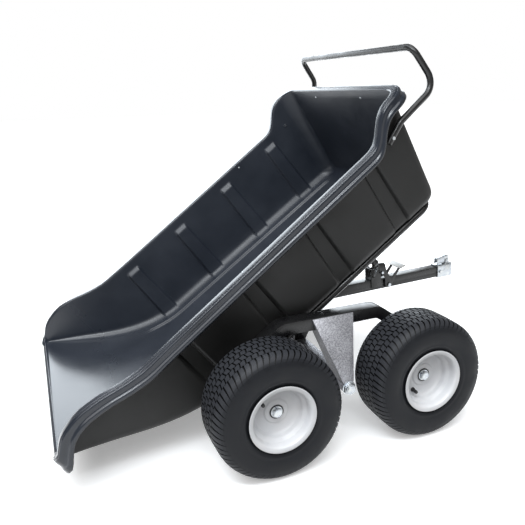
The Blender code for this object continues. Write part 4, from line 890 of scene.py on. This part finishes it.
def tread_pitch():
    """The blocks and shoulder lugs of one pitch, round the origin, with tread 1 on their tops."""
    bm = bmesh.new()
    layer = bm.faces.layers.float.new("tread")
    tops = []
    for number, y in enumerate(ROWS):
        shift = PITCH * (0.5 if number % 2 else 0.0)
        skew = PITCH * (BLOCK_SKEW if number % 2 else -BLOCK_SKEW)
        rows_of_block = []
        for part in (-1.0, 1.0):
            row = []
            for end in (-1.0, -0.15, 0.15, 1.0):
                step = BLOCK_STEP if end * part < 0 else -BLOCK_STEP
                across = y + part * BLOCK_HALF + (step if abs(end) < 0.5 else 0.0)
                angle = shift + end * PITCH * BLOCK_SHARE + skew * part
                row.append(on_tyre(tread_radius(across), across, angle))
            rows_of_block.append(row)
        tops += raised_strip(bm, rows_of_block, BLOCK_DEPTH)
    for side in (-1.0, 1.0):
        rows_of_lug = []
        for y, radius, share in LUG:
            start = PITCH * (0.25 if side > 0 else 0.75)
            middle_angle = start - LUG_SWEEP * PITCH * share ** 1.3 * side
            half = PITCH * (0.365 + 0.125 * share ** 2)
            rows_of_lug.append([on_tyre(radius, side * y, middle_angle + half * k) for k in (-1.0, 0.0, 1.0)])
        tops += raised_strip(bm, rows_of_lug, LUG_DEPTH)
    for face in tops:
        face[layer] = 1.0 - 0.5 * ease((0.2200 - face.calc_center_median().xz.length) / 0.0220)
    bmesh.ops.recalc_face_normals(bm, faces=bm.faces)
    for face in bm.faces:
        at = face.calc_center_median()
        if face.normal.dot(Vector((at.x, 0.0, at.z)).normalized()) < -0.5:
            face.normal_flip()
    return bm


pitch_faces = len(tread_pitch().faces)
print("tread:", PITCHES, "pitches of", pitch_faces, "faces")


# %% Whole tyres
def make_tyre(end, side):
    """One tyre at its wheel's middle; its sidewall's tread number is 0.5 and its grooves' 0."""
    centre = WHEELS[end, side]
    bm = tread_pitch()
    geometry = bm.verts[:] + bm.edges[:] + bm.faces[:]
    bmesh.ops.spin(bm, geom=geometry, cent=(0.0, 0.0, 0.0), axis=(0.0, 1.0, 0.0),
                   angle=PITCH * (PITCHES - 1), steps=PITCHES - 1, use_merge=False, use_duplicate=True)
    profile = [(r, y) for y, r in reversed(CARCASS)] + [(r, -y) for y, r in CARCASS[1:]]
    profile += [(0.1020, -0.0880), (0.1020, -0.0810), (0.1550, -0.0970), (0.2150, -0.0500),
                (0.2150, 0.0500), (0.1550, 0.0970), (0.1020, 0.0810), (0.1020, 0.0880)]
    blocks = len(bm.faces)
    absorb(bm, spun(profile, Vector((0.0, 0.0, 0.0)), 96))
    bm.faces.ensure_lookup_table()
    layer = bm.faces.layers.float["tread"]
    for face in bm.faces[blocks:]:
        at = face.calc_center_median()
        face[layer] = 0.5 * ease((0.2045 - math.hypot(at.x, at.z)) / 0.0080)
    bmesh.ops.translate(bm, verts=bm.verts, vec=centre)
    return piece("tyre_%s_%s_tread" % (end, side), bm, "tyre_rubber", "wheel_%s_%s" % (end, side),
                 ["tyre_%s_%s" % (end, side)], sharp=32.0)


for end, side in WHEELS:
    tyre = make_tyre(end, side)
print("each tyre:", len(tyre.data.polygons), "faces")

# %% [markdown]
# ## Steel rims
# A small-wheel rim is two pressed dishes welded together: a rolled lip, a bead seat, a
# step down to the well, and a disc with a stiffening step round the hub. The profile is
# spun, and its edges are then bevelled as a press would round them.

# %% Rims
RIM_PROFILE = (
    (0.1180, -0.1050), (0.1188, -0.1035), (0.1150, -0.1012), (0.1060, -0.1000), (0.1022, -0.0970),
    (0.1016, -0.0700), (0.0888, -0.0590), (0.0888, 0.0300), (0.1016, 0.0480), (0.1016, 0.0970),
    (0.1188, 0.1035), (0.1180, 0.1050), (0.0988, 0.0995), (0.0988, 0.0500), (0.0860, 0.0315),
    (0.0860, -0.0300), (0.0420, -0.0300), (0.0380, -0.0350), (0.0280, -0.0350), (0.0280, 0.0600),
    (0.0133, 0.0600), (0.0133, -0.0395), (0.0265, -0.0395), (0.0280, -0.0378), (0.0400, -0.0378),
    (0.0450, -0.0330), (0.0700, -0.0332), (0.0790, -0.0350), (0.0845, -0.0400), (0.0862, -0.0470),
    (0.0866, -0.0560), (0.0885, -0.0600), (0.0960, -0.0655), (0.0985, -0.0690), (0.0992, -0.0900),
    (0.1004, -0.0965), (0.1040, -0.1018), (0.1120, -0.1042))


def make_rim(end, side):
    """One rim; the dished side faces outward."""
    out = SIDES[side]
    bm = spun([(r, -out * q) for r, q in RIM_PROFILE], WHEELS[end, side], 72)
    hard = [e for e in bm.edges if len(e.link_faces) == 2 and e.calc_face_angle(0.0) > math.radians(30)]
    bevelled(bm, hard, 0.0010)
    return piece("rim_%s_%s_steel" % (end, side), bm, "rim_white", "wheel_%s_%s" % (end, side),
                 ["rim_%s_%s" % (end, side)])


for end, side in WHEELS:
    rim = make_rim(end, side)
print("each rim:", len(rim.data.polygons), "faces")

# %% [markdown]
# ## Nuts, washers and shaft ends
# A nut is a six-sided prism with chamfered corners, a washer a thin turned ring, and the
# shaft's end a short round bar with a chamfer. All three are zinc plated. A cylinder made
# with six sides is a prism, and bevelling its outer rim gives the chamfer.


# %% Fastener helpers
def bar(bm, sides, radius, low, high, centre, chamfer):
    """A prism or round bar along Y from low to high, with a chamfer at its outer end."""
    outward_y = math.copysign(1.0, centre.y + (low + high) / 2)
    turn = Matrix.Rotation(-outward_y * math.pi / 2, 4, "X")
    at = Matrix.Translation(centre + Vector((0.0, (low + high) / 2, 0.0)))
    made = bmesh.ops.create_cone(bm, cap_ends=True, segments=sides, radius1=radius, radius2=radius,
                                 depth=high - low, matrix=at @ turn)["verts"]
    face_y = max(v.co.y * outward_y for v in made)
    rim_edges = [e for e in bm.edges if all(v in made and abs(v.co.y * outward_y - face_y) < 1e-6
                                            for v in e.verts)]
    bevelled(bm, rim_edges, chamfer)


def stack(name, node, centre, side, steps):
    """Coaxial bars along Y; each step is (sides, radius, near, far, chamfer) from centre."""
    bm = bmesh.new()
    for sides, radius, near, far, chamfer in steps:
        low, high = sorted((side * near, side * far))
        bar(bm, sides, radius, low, high, centre, chamfer)
    bmesh.ops.recalc_face_normals(bm, faces=bm.faces)
    return piece(name, bm, "zinc", body_of(node), [node])


# %% Wheel nuts, pivot nuts and valves
for end, side in WHEELS:
    centre = WHEELS[end, side].copy()
    tag = "%s_%s" % (end, side)
    stack("wheel_nut_%s_hex" % tag, "wheel_nut_" + tag, centre, SIDES[side],
          [(32, 0.0205, 0.0403, 0.0431, 0.0006), (6, 0.0185, 0.0431, 0.0520, 0.0022),
           (24, 0.0150, 0.0520, 0.0545, 0.0012)])
    low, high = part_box("valve_" + tag)
    stem = Vector(((low.x + high.x) / 2, centre.y, (low.z + high.z) / 2))
    profile = [(0.0, 0.0331), (0.0088, 0.0331), (0.0086, 0.0370), (0.0064, 0.0410), (0.0060, 0.0500),
               (0.0062, 0.0506), (0.0062, 0.0600), (0.0052, 0.0620), (0.0, 0.0622)]
    valve = spun([(r, SIDES[side] * y) for r, y in profile], stem, 20, closed=False)
    piece("valve_%s_stem" % tag, valve, "valve_rubber", "wheel_" + tag, ["valve_" + tag])
    # A black rubber ring round each hub stands where the gap between hub and rim disc lies in shadow: a dark
    # ring painted in for that shade.
    ring = [(0.0208, 0.0396), (0.0208, 0.0412), (0.0220, 0.0422), (0.0240, 0.0419), (0.0250, 0.0410),
            (0.0252, 0.0396)]
    shadow_ring = spun([(r, SIDES[side] * y) for r, y in ring], centre, 40)
    piece("hub_shadow_ring_" + tag, shadow_ring, "valve_rubber", "wheel_" + tag)
for side, sign in SIDES.items():
    low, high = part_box("pivot_nut_" + side)
    centre = Vector(((low.x + high.x) / 2, 0.0, (low.z + high.z) / 2))
    near, far = sorted((abs(low.y), abs(high.y)))
    stack("pivot_nut_%s_castle" % side, "pivot_nut_" + side, centre, sign,
          [(36, 0.0255, near, near + 0.003, 0.0006), (6, 0.0235, near + 0.003, near + 0.014, 0.0026),
           (24, 0.0185, near + 0.014, far, 0.0014)])
print("fasteners: 4 wheel nuts, 4 valves, 2 pivot nuts")

# %% [markdown]
# ## Rivets in the tub
# A few bright rivets show: one in each side wall ahead of the middle, two in the front
# wall, and one in the top of the rim on each side. Each head is a low dome, a sphere that
# is flattened along the direction in which the rivet goes through the plastic.

# %% Rivets
RIVET_R = 0.0050
WALL_RIVET_U, WALL_RIVET_W = 0.249, 0.352
FRONT_RIVET_H, FRONT_RIVET_W = 0.21, 0.452
RIM_RIVET_U = -0.155
ALONG, ACROSS, UP = Vector((1.0, 0.0, 0.0)), Vector((0.0, 1.0, 0.0)), Vector((0.0, 0.0, 1.0))
wall_h = wall_half(WALL_RIVET_U, WALL_RIVET_W)
rim_h = wall_half(RIM_RIVET_U, 0.40) + 0.0150
rim_w = rim_height(RIM_RIVET_U) + 0.0052
heads = bmesh.new()
places = []
for sign in (-1.0, 1.0):
    places.append((Vector((WALL_RIVET_U, sign * wall_h, WALL_RIVET_W)), ACROSS))
    places.append((Vector((front_wall(FRONT_RIVET_W), sign * FRONT_RIVET_H, FRONT_RIVET_W)), ALONG))
    places.append((Vector((RIM_RIVET_U, sign * rim_h, rim_w)), UP))
for spot, axis in places:
    turn = axis.to_track_quat("Z", "Y").to_matrix().to_4x4()
    flat = TUB @ Matrix.Translation(spot) @ turn @ Matrix.Diagonal((1.0, 1.0, 0.5, 1.0))
    bmesh.ops.create_uvsphere(heads, u_segments=20, v_segments=12, radius=RIVET_R, matrix=flat)
piece("tub_rivets", heads, "zinc", "tub")
print("rivets:", len(places))

# %% [markdown]
# ## CAD pieces that stay
# Bolts, shafts, the spring and the spindles already have their true shape in the CAD.
# They keep their own meshes, and only their plain colours are swapped for the finishes.
# The CAD pieces that finer ones replace are swapped too, which doesn't show.

# %% Finishes on the CAD pieces
for name, node in frame["nodes"].items():
    for index, material in enumerate(node.data.materials):
        if material and material.name in FINISHES:
            node.data.materials[index] = FINISHES[material.name]
print("CAD nodes gone through:", len(frame["nodes"]))
